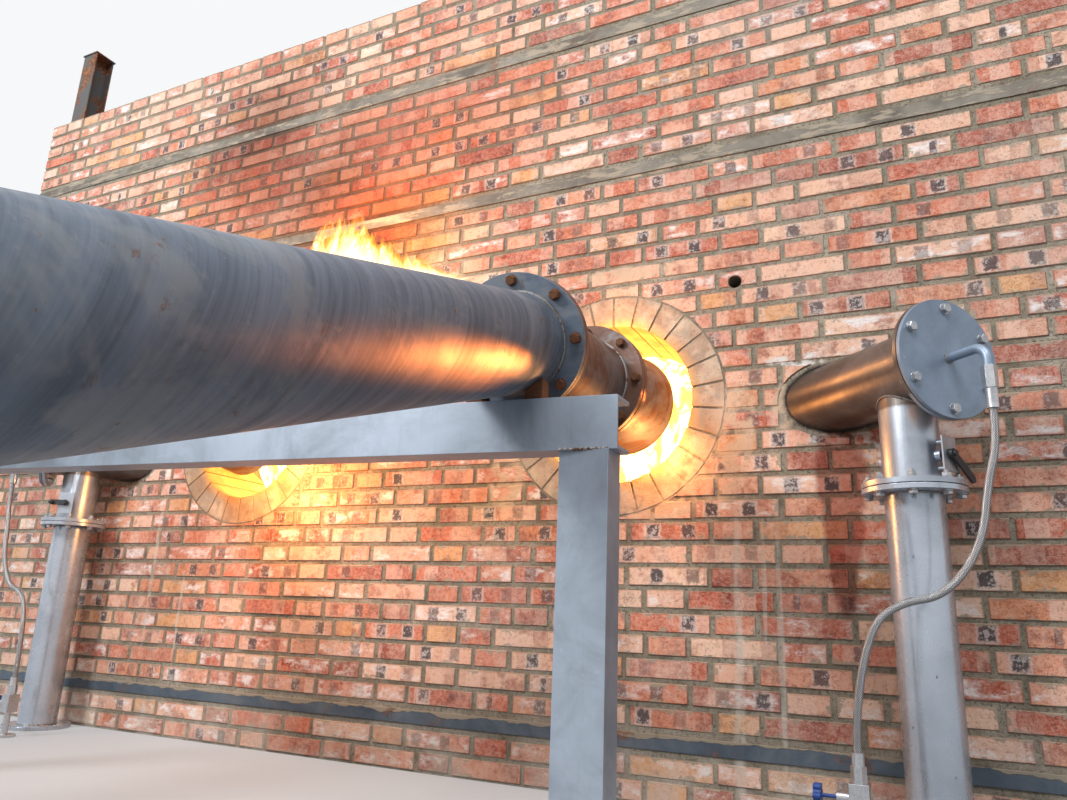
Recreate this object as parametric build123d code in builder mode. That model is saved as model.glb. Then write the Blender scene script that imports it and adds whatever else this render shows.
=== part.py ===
from build123d import *
import os
from math import asin, cos, pi, radians, sin, tan

os.makedirs("parts", exist_ok=True)

# Driving sizes of the masonry, in millimetres
course = 65
wall_courses = 46
furnace_length = 5040
furnace_depth = 3020
shell_thick = 240
lining_thick = 116
hearth_height = 130
spring_course = 33
arch_rise = 340
arch_thick = 116
parapet_courses = 1

# Driving sizes of the round ports and holes in the masonry
port_x = 773
port_height = 1157
port_radius = 258
ring_width = 100
voussoir_pitch = 74
voussoir_joint = 7
outlet_height = 1400
outlet_radius = 350
sight_hole_x = 1170
sight_hole_height = 1516
sight_hole_radius = 20
burner_hole_gap = 0.3
masonry_gap = 0.3
hole_edge = 2

# Driving sizes of the steel bands and the posts on the wall top
band_height = 42
band_thick = 4
band_courses = (2, 30, 39)
band_gap = 2
roof_post_width = 105
roof_post_height = 430
roof_post_web = 7
roof_post_inset_x = 170
roof_post_inset_y = 60
cap_overhang = 6
cap_thick = 8

# Driving sizes of the main burners
burner_shift = 18
pipe_radius = 122.5
pipe_wall = 8
flange_radius = 170
flange_thick = 20
flange_bolt_circle = 300
flange_bolts = 8
flange_hole_radius = 11
gasket_thick = 3
gasket_width = 14
inlet_joint_distance = 700
inlet_joint_height = 1128
nozzle_joint_distance = 265
nozzle_mouth_inside = 25
nozzle_mouth_shift = 13.5
nozzle_mouth_height = 1155.4
nozzle_mouth_radius = 162
nozzle_neck = 45
air_pipe_length = 1600
air_pipe_rise = 18.2
air_pipe_swing = 6

# Driving sizes of the stand under the air pipes
stand_distance = 800
stand_reach = 1073
beam_top = 957
beam_height = 120
beam_flange = 75
post_height = 114
post_flange = 75
channel_web = 6
channel_flange_thick = 9
post_inset = 17
foot_size = 190
foot_thick = 12
chock_inner = 52
chock_width = 42
chock_depth = 44
chock_height = 52
chock_gap = 0.3

# Driving sizes of the side burners
right_riser_x = 1627
right_riser_distance = 181
left_riser_x = -1556
left_riser_distance = 132
left_side_drop = 34
riser_radius = 68.5
riser_wall = 5
riser_flange_radius = 120
riser_flange_thick = 13
riser_bolt_circle = 206
riser_bolts = 8
riser_hole_radius = 8
riser_joint_height = 824
side_pipe_radius = 97
side_pipe_wall = 6
side_pipe_height = 1120
side_pipe_angle = 45
side_pipe_front = 132
side_pipe_depth = 160
blind_radius = 148
blind_thick = 10
blind_bolt_circle = 250
blind_bolts = 6
blind_hole_radius = 10
blind_turn = 30
joint_sheet = 2
weld_gap = 0.1

# Driving sizes of the gas connection
gas_pipe_radius = 11
gas_pipe_bore = 8
gas_reach = 105
gas_bend = 34
gas_drop = 50
union_hex = 30
union_length = 52
collar_radius = 13
collar_length = 46
hose_radius = 8.5
hose_lead = 79
hose_tail_lead = 81
tail_collar_length = 26
tail_hex = 28
tail_hex_length = 33
valve_block = 40
valve_block_height = 62
valve_offset = 146
valve_reach = 219
valve_top = 178
bonnet_radius = 11
bonnet_length = 26
bonnet_bore = 18
stem_radius = 4
stem_gap = 0.05
stem_end_gap = 2
wheel_core = 18
wheel_lobe = 6.5
wheel_thick = 16
wheel_lobes = 6
wheel_reach = 84
floor_plate_radius = 38
floor_plate_thick = 8

# Driving sizes of the dampers
damper_height = 899
shaft_radius = 7
shaft_gap = 0.05
shaft_end = 6
disc_gap = 1.5
disc_thick = 5
boss_radius = 14
boss_length = 12
quadrant_reach = 26
quadrant_width = 56
quadrant_height = 84
quadrant_thick = 4
quadrant_bar = 5
quadrant_bar_offset = 32
lever_gap = 5
hub_gap = 0.3
hub_radius = 12
lever_thick = 6
lever_lengths = {"right": 92, "left": 50}
lever_angles = {"right": -35, "left": 180}
lever_width = 20
knob_radius = 9
knob_sink = 2

# Worked-out levels and faces
wall_height = course * wall_courses
spring_height = course * spring_course
cover_top = wall_height - course * parapet_courses
front = -furnace_depth / 2
rear = furnace_depth / 2
wall_total = shell_thick + lining_thick
shell_inner_length = furnace_length - 2 * shell_thick
shell_inner_depth = furnace_depth - 2 * shell_thick
chamber_length = furnace_length - 2 * wall_total
chamber_depth = furnace_depth - 2 * wall_total
ring_radius = port_radius + ring_width


def keep(part, name):
    part.label = name
    export_step(part, "parts/" + name + ".step")


def unit(x, y, z):
    return Vector(x, y, z).normalized()


def turned_plane(origin, axis):
    """Plane that holds an axis as its local Y, with the radius as its local X."""
    across = axis.cross(Vector(0, 0, 1)).normalized() if abs(axis.Z) < 0.99 else Vector(1, 0, 0)
    return Plane(origin=origin, x_dir=across, z_dir=across.cross(axis))


def across_plane(origin, axis):
    """Plane square to an axis, for bolt circles."""
    side = axis.cross(Vector(0, 0, 1)).normalized() if abs(axis.Z) < 0.99 else Vector(1, 0, 0)
    return Plane(origin=origin, x_dir=side, z_dir=axis)


# Directions of the pipes
air_run = cos(radians(air_pipe_rise))
air_axis = Vector(-sin(radians(air_pipe_swing)) * air_run,
                  cos(radians(air_pipe_swing)) * air_run, sin(radians(air_pipe_rise)))
beam_way = Vector(cos(radians(air_pipe_swing)), sin(radians(air_pipe_swing)), 0)
inward = {"right": -1, "left": 1}

# Joints of the main burners, both pipes lying the same way on the slanting beam
beam_slope = tan(radians(air_pipe_swing))
inlet_points = {}
mouth_points = {}
burner_axes = {}
for side, way in (("right", 1), ("left", -1)):
    inlet_x = way * (port_x + burner_shift)
    inlet_y = front - inlet_joint_distance - (1 - way) * (port_x + burner_shift) * beam_slope
    inlet_points[side] = Vector(inlet_x, inlet_y, inlet_joint_height)
    mouth_points[side] = Vector(inlet_x + way * nozzle_mouth_shift, front + nozzle_mouth_inside, nozzle_mouth_height)
    burner_axes[side] = (mouth_points[side] - inlet_points[side]).normalized()

# Places of the side burners
riser_xs = {"right": right_riser_x, "left": left_riser_x}
riser_distances = {"right": right_riser_distance, "left": left_riser_distance}
side_drops = {"right": 0, "left": left_side_drop}
side_axes = {side: Vector(inward[side] * sin(radians(side_pipe_angle)),
                          cos(radians(side_pipe_angle)), 0) for side in riser_xs}
side_hole_radius = side_pipe_radius + burner_hole_gap


def riser_point(side, height):
    """Point on a riser's axis, at a height given for the right riser."""
    return Vector(riser_xs[side], front - riser_distances[side], height - side_drops[side])


def side_hole(side):
    """Outline of the slanting hole that a side burner fires through."""
    with BuildSketch(across_plane(riser_point(side, side_pipe_height), side_axes[side])) as hole:
        Circle(side_hole_radius)
    return hole.sketch


# Front wall with its ports, sight holes and the slanting holes of the side burners
for name, y_mid, thick, length, height in (
        ("front_wall", front + shell_thick / 2, shell_thick, furnace_length, wall_height),
        ("front_lining", front + shell_thick + lining_thick / 2, lining_thick,
         shell_inner_length, spring_height)):
    with BuildPart() as leaf:
        with Locations((0, y_mid, height / 2)):
            Box(length, thick, height)
        with BuildSketch(Plane.XZ.offset(-(y_mid + thick))):
            with Locations((-port_x, port_height), (port_x, port_height)):
                Circle(ring_radius + masonry_gap)
            with Locations((-sight_hole_x, sight_hole_height), (sight_hole_x, sight_hole_height)):
                Circle(sight_hole_radius)
        extrude(amount=2 * thick, mode=Mode.SUBTRACT)
        for side in riser_xs:
            extrude(side_hole(side), amount=3 * wall_total, mode=Mode.SUBTRACT)
    keep(leaf.part, name)

# Rear wall with the round hot air outlet
for name, y_mid, thick, length, height in (
        ("rear_wall", rear - shell_thick / 2, shell_thick, furnace_length, wall_height),
        ("rear_lining", rear - shell_thick - lining_thick / 2, lining_thick,
         shell_inner_length, spring_height)):
    with BuildPart() as leaf:
        with Locations((0, y_mid, height / 2)):
            Box(length, thick, height)
        with BuildSketch(Plane.XZ.offset(-(y_mid + thick))):
            with Locations((0, outlet_height)):
                Circle(outlet_radius + ring_width + masonry_gap)
        extrude(amount=2 * thick, mode=Mode.SUBTRACT)
    keep(leaf.part, name)

# End walls between the long walls
for name, way in (("left_wall", -1), ("right_wall", 1)):
    with BuildPart() as end_wall:
        with Locations((way * (furnace_length - shell_thick) / 2, 0, wall_height / 2)):
            Box(shell_thick, shell_inner_depth, wall_height)
    keep(end_wall.part, name)

# Curve of the crown, sprung from the long linings
arch_radius = (chamber_depth ** 2 / 4 + arch_rise ** 2) / (2 * arch_rise)
arch_centre = spring_height + arch_rise - arch_radius
arch_half = asin(chamber_depth / 2 / arch_radius)
outer_radius = arch_radius + arch_thick
outer_y = outer_radius * sin(arch_half)
outer_z = arch_centre + outer_radius * cos(arch_half)
outer_top = arch_centre + outer_radius

# End linings, curved on top to meet the soffit of the crown
with BuildPart() as end_linings:
    for way in (-1, 1):
        with BuildSketch(Plane.YZ.offset(way * (chamber_length + lining_thick) / 2 - lining_thick / 2)):
            with BuildLine():
                Polyline((chamber_depth / 2, spring_height), (chamber_depth / 2, 0),
                         (-chamber_depth / 2, 0), (-chamber_depth / 2, spring_height))
                ThreePointArc((-chamber_depth / 2, spring_height), (0, spring_height + arch_rise),
                              (chamber_depth / 2, spring_height))
            make_face()
        extrude(amount=lining_thick)
keep(end_linings.part, "end_linings")

# Crown arch of firebrick over the whole chamber
with BuildPart() as crown_arch:
    with BuildSketch(Plane.YZ.offset(-shell_inner_length / 2)):
        with BuildLine():
            ThreePointArc((-chamber_depth / 2, spring_height), (0, spring_height + arch_rise),
                          (chamber_depth / 2, spring_height))
            Line((chamber_depth / 2, spring_height), (outer_y, outer_z))
            ThreePointArc((outer_y, outer_z), (0, outer_top), (-outer_y, outer_z))
            Line((-outer_y, outer_z), (-chamber_depth / 2, spring_height))
        make_face()
    extrude(amount=shell_inner_length)
keep(crown_arch.part, "crown_arch")

# Levelled cover over the crown, down to its skewbacks
with BuildPart() as roof_cover:
    with BuildSketch(Plane.YZ.offset(-shell_inner_length / 2)):
        with BuildLine():
            Polyline((chamber_depth / 2, spring_height), (shell_inner_depth / 2, spring_height),
                     (shell_inner_depth / 2, cover_top), (-shell_inner_depth / 2, cover_top),
                     (-shell_inner_depth / 2, spring_height), (-chamber_depth / 2, spring_height),
                     (-outer_y, outer_z))
            ThreePointArc((-outer_y, outer_z), (0, outer_top), (outer_y, outer_z))
            Line((outer_y, outer_z), (chamber_depth / 2, spring_height))
        make_face()
    extrude(amount=shell_inner_length)
keep(roof_cover.part, "roof_cover")

# Hearth of the chamber
with BuildPart() as hearth:
    with Locations((0, 0, hearth_height / 2)):
        Box(chamber_length, chamber_depth, hearth_height)
keep(hearth.part, "hearth")


# Ring of wedge bricks that lines a round port through shell and lining
def ring_wedges(name, x, z, face_y, radius, side=None):
    mid_radius = radius + ring_width / 2
    count = round(2 * pi * mid_radius / voussoir_pitch)
    half_turn = pi / count
    inner_half = half_turn - voussoir_joint / 2 / radius
    outer_half = half_turn - voussoir_joint / 2 / (radius + ring_width)
    far = radius + ring_width
    inner_low = (radius * cos(inner_half), -radius * sin(inner_half))
    inner_high = (radius * cos(inner_half), radius * sin(inner_half))
    outer_low = (far * cos(outer_half), -far * sin(outer_half))
    outer_high = (far * cos(outer_half), far * sin(outer_half))
    with BuildSketch() as wedge:
        with BuildLine():
            ThreePointArc(inner_low, (radius, 0), inner_high)
            Line(inner_high, outer_high)
            ThreePointArc(outer_high, (far, 0), outer_low)
            Line(outer_low, inner_low)
        make_face()
    with BuildPart() as ring:
        with BuildSketch(Plane(origin=(x, face_y, z), x_dir=(1, 0, 0), z_dir=(0, 1, 0))):
            with PolarLocations(0, count):
                add(wedge.sketch)
        extrude(amount=wall_total)
        if side:
            extrude(side_hole(side), amount=3 * wall_total, mode=Mode.SUBTRACT)
    keep(ring.part, name)


ring_wedges("port_ring_right", port_x, port_height, front, port_radius, "right")
ring_wedges("port_ring_left", -port_x, port_height, front, port_radius, "left")
ring_wedges("outlet_ring", 0, outlet_height, rear - wall_total, outlet_radius)

# Steel bands around the shell, each of four flats
with BuildPart() as tie_bands:
    for level in band_courses:
        with Locations((0, 0, level * course + course / 2)):
            with Locations((0, front - band_thick / 2, 0), (0, rear + band_thick / 2, 0)):
                Box(furnace_length + 2 * band_thick, band_thick, band_height)
            with Locations((-(furnace_length + band_thick) / 2, 0, 0), ((furnace_length + band_thick) / 2, 0, 0)):
                Box(band_thick, furnace_depth - 2 * band_gap, band_height)
keep(tie_bands.part, "tie_bands")

# Steel posts that stand on the front wall near its ends
pocket_width = (roof_post_width - roof_post_web) / 2
pocket_centre = (roof_post_width + roof_post_web) / 4
with BuildPart() as roof_posts:
    for way in (-1, 1):
        x = way * (furnace_length / 2 - roof_post_inset_x)
        y = front + roof_post_inset_y
        with BuildSketch(Plane.XY.offset(wall_height)):
            with Locations((x, y)):
                Rectangle(roof_post_width, roof_post_width)
                with Locations((-pocket_centre, 0), (pocket_centre, 0)):
                    Rectangle(pocket_width, roof_post_width - 2 * roof_post_web, mode=Mode.SUBTRACT)
        extrude(amount=roof_post_height)
        with Locations((x, y, wall_height + roof_post_height + cap_thick / 2)):
            Box(roof_post_width + 2 * cap_overhang, roof_post_width + 2 * cap_overhang, cap_thick)
keep(roof_posts.part, "roof_posts")


# Main burners: air pipe, spool, nozzle and the gaskets between them
gasket_outer = flange_bolt_circle / 2 - flange_hole_radius - hole_edge
gasket_inner = gasket_outer - gasket_width
pipe_bore = pipe_radius - pipe_wall
nozzle_points = {}
for side, axis in burner_axes.items():
    nozzle_reach = (nozzle_joint_distance + nozzle_mouth_inside) / axis.Y
    nozzle_points[side] = mouth_points[side] - axis * nozzle_reach


def bolt_circle(plane, circle, count, radius, turn=0):
    """Round holes on a circle, for cutting through a flange."""
    with BuildSketch(plane) as holes:
        with PolarLocations(circle / 2, count, start_angle=turn):
            Circle(radius)
    return holes.sketch


for side, burner_axis in burner_axes.items():
    inlet = inlet_points[side]
    seat = inlet - air_axis * (gasket_thick / 2)
    back = air_axis * -1
    with BuildPart() as air_pipe:
        with BuildSketch(turned_plane(seat, back)):
            with BuildLine():
                Polyline((pipe_bore, 0), (flange_radius, 0), (flange_radius, flange_thick),
                         (pipe_radius, flange_thick), (pipe_radius, air_pipe_length - flange_thick),
                         (flange_radius, air_pipe_length - flange_thick),
                         (flange_radius, air_pipe_length), (pipe_bore, air_pipe_length), close=True)
            make_face()
        revolve(axis=Axis(seat, back))
        for reach in (0, air_pipe_length):
            extrude(bolt_circle(across_plane(seat + back * reach, air_axis), flange_bolt_circle,
                                flange_bolts, flange_hole_radius),
                    amount=1.5 * flange_thick, both=True, mode=Mode.SUBTRACT)
    keep(air_pipe.part, "air_pipe_" + side)

    spool_seat = inlet + air_axis * (gasket_thick / 2)
    joint = nozzle_points[side]
    spool_end = joint - burner_axis * (gasket_thick / 2)
    spool_length = (spool_end - spool_seat).length
    with BuildPart() as spool:
        with BuildSketch(across_plane(spool_end, burner_axis * -1)):
            Circle(pipe_radius)
        extrude(amount=spool_length + flange_thick)
        split(bisect_by=across_plane(spool_seat + air_axis * (flange_thick / 2), air_axis), keep=Keep.TOP)
        with BuildSketch(across_plane(spool_seat, air_axis)):
            Circle(flange_radius)
        extrude(amount=flange_thick)
        with BuildSketch(across_plane(spool_end, burner_axis * -1)):
            Circle(flange_radius)
        extrude(amount=flange_thick)
        with BuildSketch(across_plane(spool_end, burner_axis * -1)):
            Circle(pipe_bore)
        extrude(amount=2 * spool_length, mode=Mode.SUBTRACT)
        for point, axis in ((spool_seat, air_axis), (spool_end, burner_axis)):
            extrude(bolt_circle(across_plane(point, axis), flange_bolt_circle, flange_bolts,
                                flange_hole_radius),
                    amount=1.5 * flange_thick, both=True, mode=Mode.SUBTRACT)
    keep(spool.part, "spool_" + side)

    nozzle_seat = joint + burner_axis * (gasket_thick / 2)
    nozzle_length = (mouth_points[side] - nozzle_seat).length
    with BuildPart() as nozzle:
        with BuildSketch(turned_plane(nozzle_seat, burner_axis)):
            with BuildLine():
                Polyline((pipe_bore, 0), (flange_radius, 0), (flange_radius, flange_thick),
                         (pipe_radius, flange_thick), (pipe_radius, flange_thick + nozzle_neck),
                         (nozzle_mouth_radius, nozzle_length),
                         (nozzle_mouth_radius - pipe_wall, nozzle_length),
                         (pipe_bore, flange_thick + nozzle_neck), close=True)
            make_face()
        revolve(axis=Axis(nozzle_seat, burner_axis))
        extrude(bolt_circle(across_plane(nozzle_seat, burner_axis), flange_bolt_circle, flange_bolts,
                            flange_hole_radius),
                amount=1.5 * flange_thick, both=True, mode=Mode.SUBTRACT)
    keep(nozzle.part, "nozzle_" + side)

with BuildPart() as gaskets:
    for side in burner_axes:
        for point, axis in ((inlet_points[side], air_axis), (nozzle_points[side], burner_axes[side])):
            with BuildSketch(across_plane(point - axis * (gasket_thick / 2), axis)):
                Circle(gasket_outer)
                Circle(gasket_inner, mode=Mode.SUBTRACT)
            extrude(amount=gasket_thick)
keep(gaskets.part, "gaskets")


# Stand: a channel beam square to the air pipes, on two channel posts, with chocks under the pipes
def channel_section(plane, height, flange):
    """Channel section with its web along local X and its flanges along local Y."""
    with BuildSketch(plane) as section:
        Rectangle(height, flange, align=(Align.CENTER, Align.MIN))
        with Locations((0, channel_web)):
            Rectangle(height - 2 * channel_flange_thick, flange,
                      align=(Align.CENTER, Align.MIN), mode=Mode.SUBTRACT)
    return section.sketch


def beam_face(x):
    """Place of the beam's front face on the floor plan."""
    return front - stand_distance + (x - port_x - burner_shift) * beam_slope


beam_bottom = beam_top - beam_height
beam_run = 2 * stand_reach / cos(radians(air_pipe_swing)) + 2 * beam_flange
beam_start = Vector(0, beam_face(0), beam_top - beam_height / 2) - beam_way * (beam_run / 2)
with BuildPart() as stand_beam:
    extrude(channel_section(Plane(origin=beam_start, x_dir=(0, 0, -1), z_dir=beam_way), beam_height, beam_flange),
            amount=beam_run)
    for way in (-1, 1):
        split(bisect_by=Plane(origin=(way * stand_reach, 0, 0), z_dir=(way, 0, 0)), keep=Keep.BOTTOM)
keep(stand_beam.part, "stand_beam")

with BuildPart() as stand_posts:
    for way in (-1, 1):
        x = way * (stand_reach - post_inset - post_height / 2)
        y = beam_face(x)
        extrude(channel_section(Plane(origin=(x, y, foot_thick), x_dir=(1, 0, 0), z_dir=(0, 0, 1)),
                                post_height, post_flange),
                amount=beam_bottom - foot_thick)
        with Locations((x, y + post_flange / 2, foot_thick / 2)):
            Box(foot_size, foot_size, foot_thick)
keep(stand_posts.part, "stand_posts")

beam_square = Vector(-beam_way.Y, beam_way.X, 0)
with BuildPart() as pipe_chocks:
    for inlet in inlet_points.values():
        reach = (inlet.Y - beam_face(inlet.X)) * beam_way.X - beam_flange / 2
        middle = Vector(inlet.X, inlet.Y, beam_top) - beam_square * reach
        for way in (-1, 1):
            seat = middle + beam_way * (way * (chock_inner + chock_width / 2))
            with BuildSketch(Plane(origin=seat, x_dir=beam_way, z_dir=(0, 0, 1))):
                Rectangle(chock_width, chock_depth)
            extrude(amount=chock_height)
    for inlet in inlet_points.values():
        with BuildSketch(across_plane(inlet, air_axis * -1)):
            Circle(pipe_radius + chock_gap)
        extrude(amount=4 * pipe_radius, mode=Mode.SUBTRACT)
keep(pipe_chocks.part, "pipe_chocks")


# Side burners: riser, tee, blind flange, gas pipe, hose, valve and damper
riser_bore = riser_radius - riser_wall
side_bore = side_pipe_radius - side_pipe_wall
damper_ways = {"right": unit(0.86, -0.5, 0), "left": unit(0.5, -0.87, 0)}
quadrant_face = riser_radius + quadrant_reach + quadrant_thick
lever_face = quadrant_face + lever_gap
knob_lift = lever_thick + knob_radius - knob_sink
tail_top = valve_top + tail_hex_length + tail_collar_length
wheel_way = Vector(-1, 0, 0)


def beside(side, outward, forward, height):
    """Point beside a riser, outward from the furnace's middle and forward from the wall."""
    return riser_point(side, height) - Vector(inward[side] * outward, forward, 0)


def flange_ring(plane, radius, pipe, circle, count, hole, turn=0):
    """Outline of a flange that is slipped over a pipe and welded to it."""
    with BuildSketch(plane) as ring:
        Circle(radius)
        Circle(pipe + weld_gap, mode=Mode.SUBTRACT)
        with PolarLocations(circle / 2, count, start_angle=turn):
            Circle(hole, mode=Mode.SUBTRACT)
    return ring.sketch


for side in riser_xs:
    up = Vector(0, 0, 1)
    joint = riser_point(side, riser_joint_height)
    x = joint.X
    y = joint.Y
    foot = Vector(x, y, 0)
    riser_top = joint.Z - joint_sheet / 2
    branch_foot = joint.Z + joint_sheet / 2

    # Riser from the floor to the flanged joint
    with BuildPart() as riser:
        with BuildSketch(Plane(origin=foot)):
            Circle(riser_radius)
            Circle(riser_bore, mode=Mode.SUBTRACT)
        extrude(amount=riser_top)
        for level in (0, riser_top - riser_flange_thick):
            extrude(flange_ring(Plane(origin=(x, y, level)), riser_flange_radius, riser_radius,
                                riser_bolt_circle, riser_bolts, riser_hole_radius),
                    amount=riser_flange_thick)
    keep(riser.part, "riser_" + side)

    # Tee: branch on the riser, slanting pipe through the wall and its front flange
    axis = side_axes[side]
    tee_centre = riser_point(side, side_pipe_height)
    blind_seat = tee_centre - axis * side_pipe_front
    mate_front = blind_seat + axis * (joint_sheet / 2)
    pipe_end = (side_pipe_depth + riser_distances[side]) / axis.Y
    damper_point = riser_point(side, damper_height)
    damper_way = damper_ways[side]
    with BuildPart() as tee:
        with BuildSketch(Plane(origin=(x, y, branch_foot))):
            Circle(riser_radius)
        extrude(amount=tee_centre.Z - branch_foot)
        with BuildSketch(across_plane(damper_point, damper_way)):
            Circle(boss_radius)
        extrude(amount=riser_radius + boss_length, both=True)
        with BuildSketch(across_plane(damper_point + damper_way * (riser_radius - riser_wall / 2), damper_way)):
            with Locations((0, -quadrant_bar_offset), (0, quadrant_bar_offset)):
                Circle(quadrant_bar)
        extrude(amount=riser_wall / 2 + quadrant_reach)
        with BuildSketch(across_plane(damper_point + damper_way * (riser_radius + quadrant_reach), damper_way)):
            Rectangle(quadrant_width, quadrant_height)
        extrude(amount=quadrant_thick)
        with BuildSketch(across_plane(mate_front, axis)):
            Circle(side_pipe_radius + weld_gap)
        extrude(amount=side_pipe_front + pipe_end, mode=Mode.SUBTRACT)
        with BuildSketch(across_plane(mate_front, axis)):
            Circle(side_pipe_radius)
            Circle(side_bore, mode=Mode.SUBTRACT)
        extrude(amount=side_pipe_front + pipe_end)
        with BuildSketch(Plane(origin=(x, y, branch_foot))):
            Circle(riser_bore)
        extrude(amount=tee_centre.Z - branch_foot, mode=Mode.SUBTRACT)
        with BuildSketch(across_plane(damper_point, damper_way)):
            Circle(shaft_radius + shaft_gap)
        extrude(amount=2 * riser_radius, both=True, mode=Mode.SUBTRACT)
        extrude(flange_ring(Plane(origin=(x, y, branch_foot)), riser_flange_radius, riser_radius,
                            riser_bolt_circle, riser_bolts, riser_hole_radius),
                amount=riser_flange_thick)
        extrude(flange_ring(across_plane(mate_front, axis), blind_radius, side_pipe_radius,
                            blind_bolt_circle, blind_bolts, blind_hole_radius, blind_turn),
                amount=blind_thick)
    keep(tee.part, "side_burner_" + side)

    # Blind flange with the gas pipe welded into its middle and bent down
    plate_back = blind_seat - axis * (joint_sheet / 2)
    out = axis * -1
    plate_front = plate_back + out * blind_thick
    bend_end = plate_front + out * gas_reach
    pipe_foot = bend_end - up * gas_drop
    with BuildPart() as blind_flange:
        with BuildSketch(across_plane(plate_back, out)):
            Circle(blind_radius)
        extrude(amount=blind_thick)
        extrude(bolt_circle(across_plane(plate_back, out), blind_bolt_circle, blind_bolts,
                            blind_hole_radius, blind_turn),
                amount=1.5 * blind_thick, both=True, mode=Mode.SUBTRACT)
        with BuildLine() as run:
            FilletPolyline(plate_front, bend_end, pipe_foot, radius=gas_bend)
        with BuildSketch(across_plane(plate_front, out)):
            Circle(gas_pipe_radius)
        sweep(path=run.wires()[0])
    keep(blind_flange.part, "blind_flange_" + side)

    # Hexagonal union and collar at the head of the hose
    with BuildPart() as hose_union:
        with BuildSketch(Plane(origin=pipe_foot, z_dir=(0, 0, -1))):
            RegularPolygon(union_hex / 2, 6, major_radius=False)
        extrude(amount=union_length)
        with BuildSketch(Plane(origin=pipe_foot - up * union_length, z_dir=(0, 0, -1))):
            Circle(collar_radius)
        extrude(amount=collar_length)
    keep(hose_union.part, "hose_union_" + side)

    # Braided hose from the collar down to the valve
    head = pipe_foot - up * (union_length + collar_length)
    route = [head,
             head - up * hose_lead,
             beside(side, 151, 177, 812),
             beside(side, 127, 181, 671),
             beside(side, 50, 187, 564),
             beside(side, -43, 199, 547),
             beside(side, -106, 209, 496),
             beside(side, -valve_offset, valve_reach, tail_top + hose_tail_lead),
             beside(side, -valve_offset, valve_reach, tail_top)]
    runs = [(b - a) for a, b in zip(route, route[1:])]
    radii = []
    for first, second in zip(runs, runs[1:]):
        half_bend = radians(first.get_angle(second)) / 2
        radii.append(0.45 * min(first.length, second.length) / tan(half_bend))
    print("hose", side, "radii", [round(radius) for radius in radii])
    with BuildPart() as hose:
        with BuildLine() as hose_line:
            FilletPolyline(*route, radius=radii)
        hose_path = hose_line.wires()[0]
        with BuildSketch(across_plane(route[0], runs[0].normalized())):
            Circle(hose_radius)
        sweep(path=hose_path)
    hose_section = pi * hose_radius ** 2
    print("hose", side, "length", round(hose_path.length), "volume share",
          round(hose.part.volume / hose_section / hose_path.length, 4))
    keep(hose.part, "hose_" + side)

    # Collar and hexagon at the foot of the hose
    tail = route[-1]
    with BuildPart() as hose_tail:
        with BuildSketch(Plane(origin=tail, z_dir=(0, 0, -1))):
            Circle(collar_radius)
        extrude(amount=tail_collar_length)
        with BuildSketch(Plane(origin=tail - up * tail_collar_length, z_dir=(0, 0, -1))):
            RegularPolygon(tail_hex / 2, 6, major_radius=False)
        extrude(amount=tail_hex_length)
    keep(hose_tail.part, "hose_tail_" + side)

    # Needle valve on a stub pipe from the floor, with its bonnet to the left
    valve_middle = tail - up * (tail_collar_length + tail_hex_length + valve_block_height / 2)
    bonnet_face = valve_middle + wheel_way * (valve_block / 2)
    bonnet_end = bonnet_face + wheel_way * bonnet_length
    with BuildPart() as gas_valve:
        with Locations(valve_middle):
            Box(valve_block, valve_block, valve_block_height)
        with BuildSketch(across_plane(bonnet_face, wheel_way)):
            Circle(bonnet_radius)
        extrude(amount=bonnet_length)
        with BuildSketch(across_plane(bonnet_end, wheel_way * -1)):
            Circle(stem_radius + stem_gap)
        extrude(amount=bonnet_bore, mode=Mode.SUBTRACT)
        with BuildSketch(Plane(origin=(tail.X, tail.Y, 0))):
            Circle(gas_pipe_radius)
        extrude(amount=valve_middle.Z - valve_block_height / 2)
        with BuildSketch(Plane(origin=(tail.X, tail.Y, 0))):
            Circle(floor_plate_radius)
        extrude(amount=floor_plate_thick)
    keep(gas_valve.part, "gas_valve_" + side)

    # Lobed handwheel on its stem
    wheel_middle = valve_middle + wheel_way * wheel_reach
    stem_start = bonnet_end - wheel_way * (bonnet_bore - stem_end_gap)
    with BuildPart() as valve_wheel:
        with BuildSketch(across_plane(wheel_middle - wheel_way * (wheel_thick / 2), wheel_way)):
            Circle(wheel_core)
            with PolarLocations(wheel_core, wheel_lobes):
                Circle(wheel_lobe)
        extrude(amount=wheel_thick)
        with BuildSketch(across_plane(stem_start, wheel_way)):
            Circle(stem_radius)
        extrude(amount=(wheel_middle - stem_start).length)
    keep(valve_wheel.part, "valve_wheel_" + side)

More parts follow.
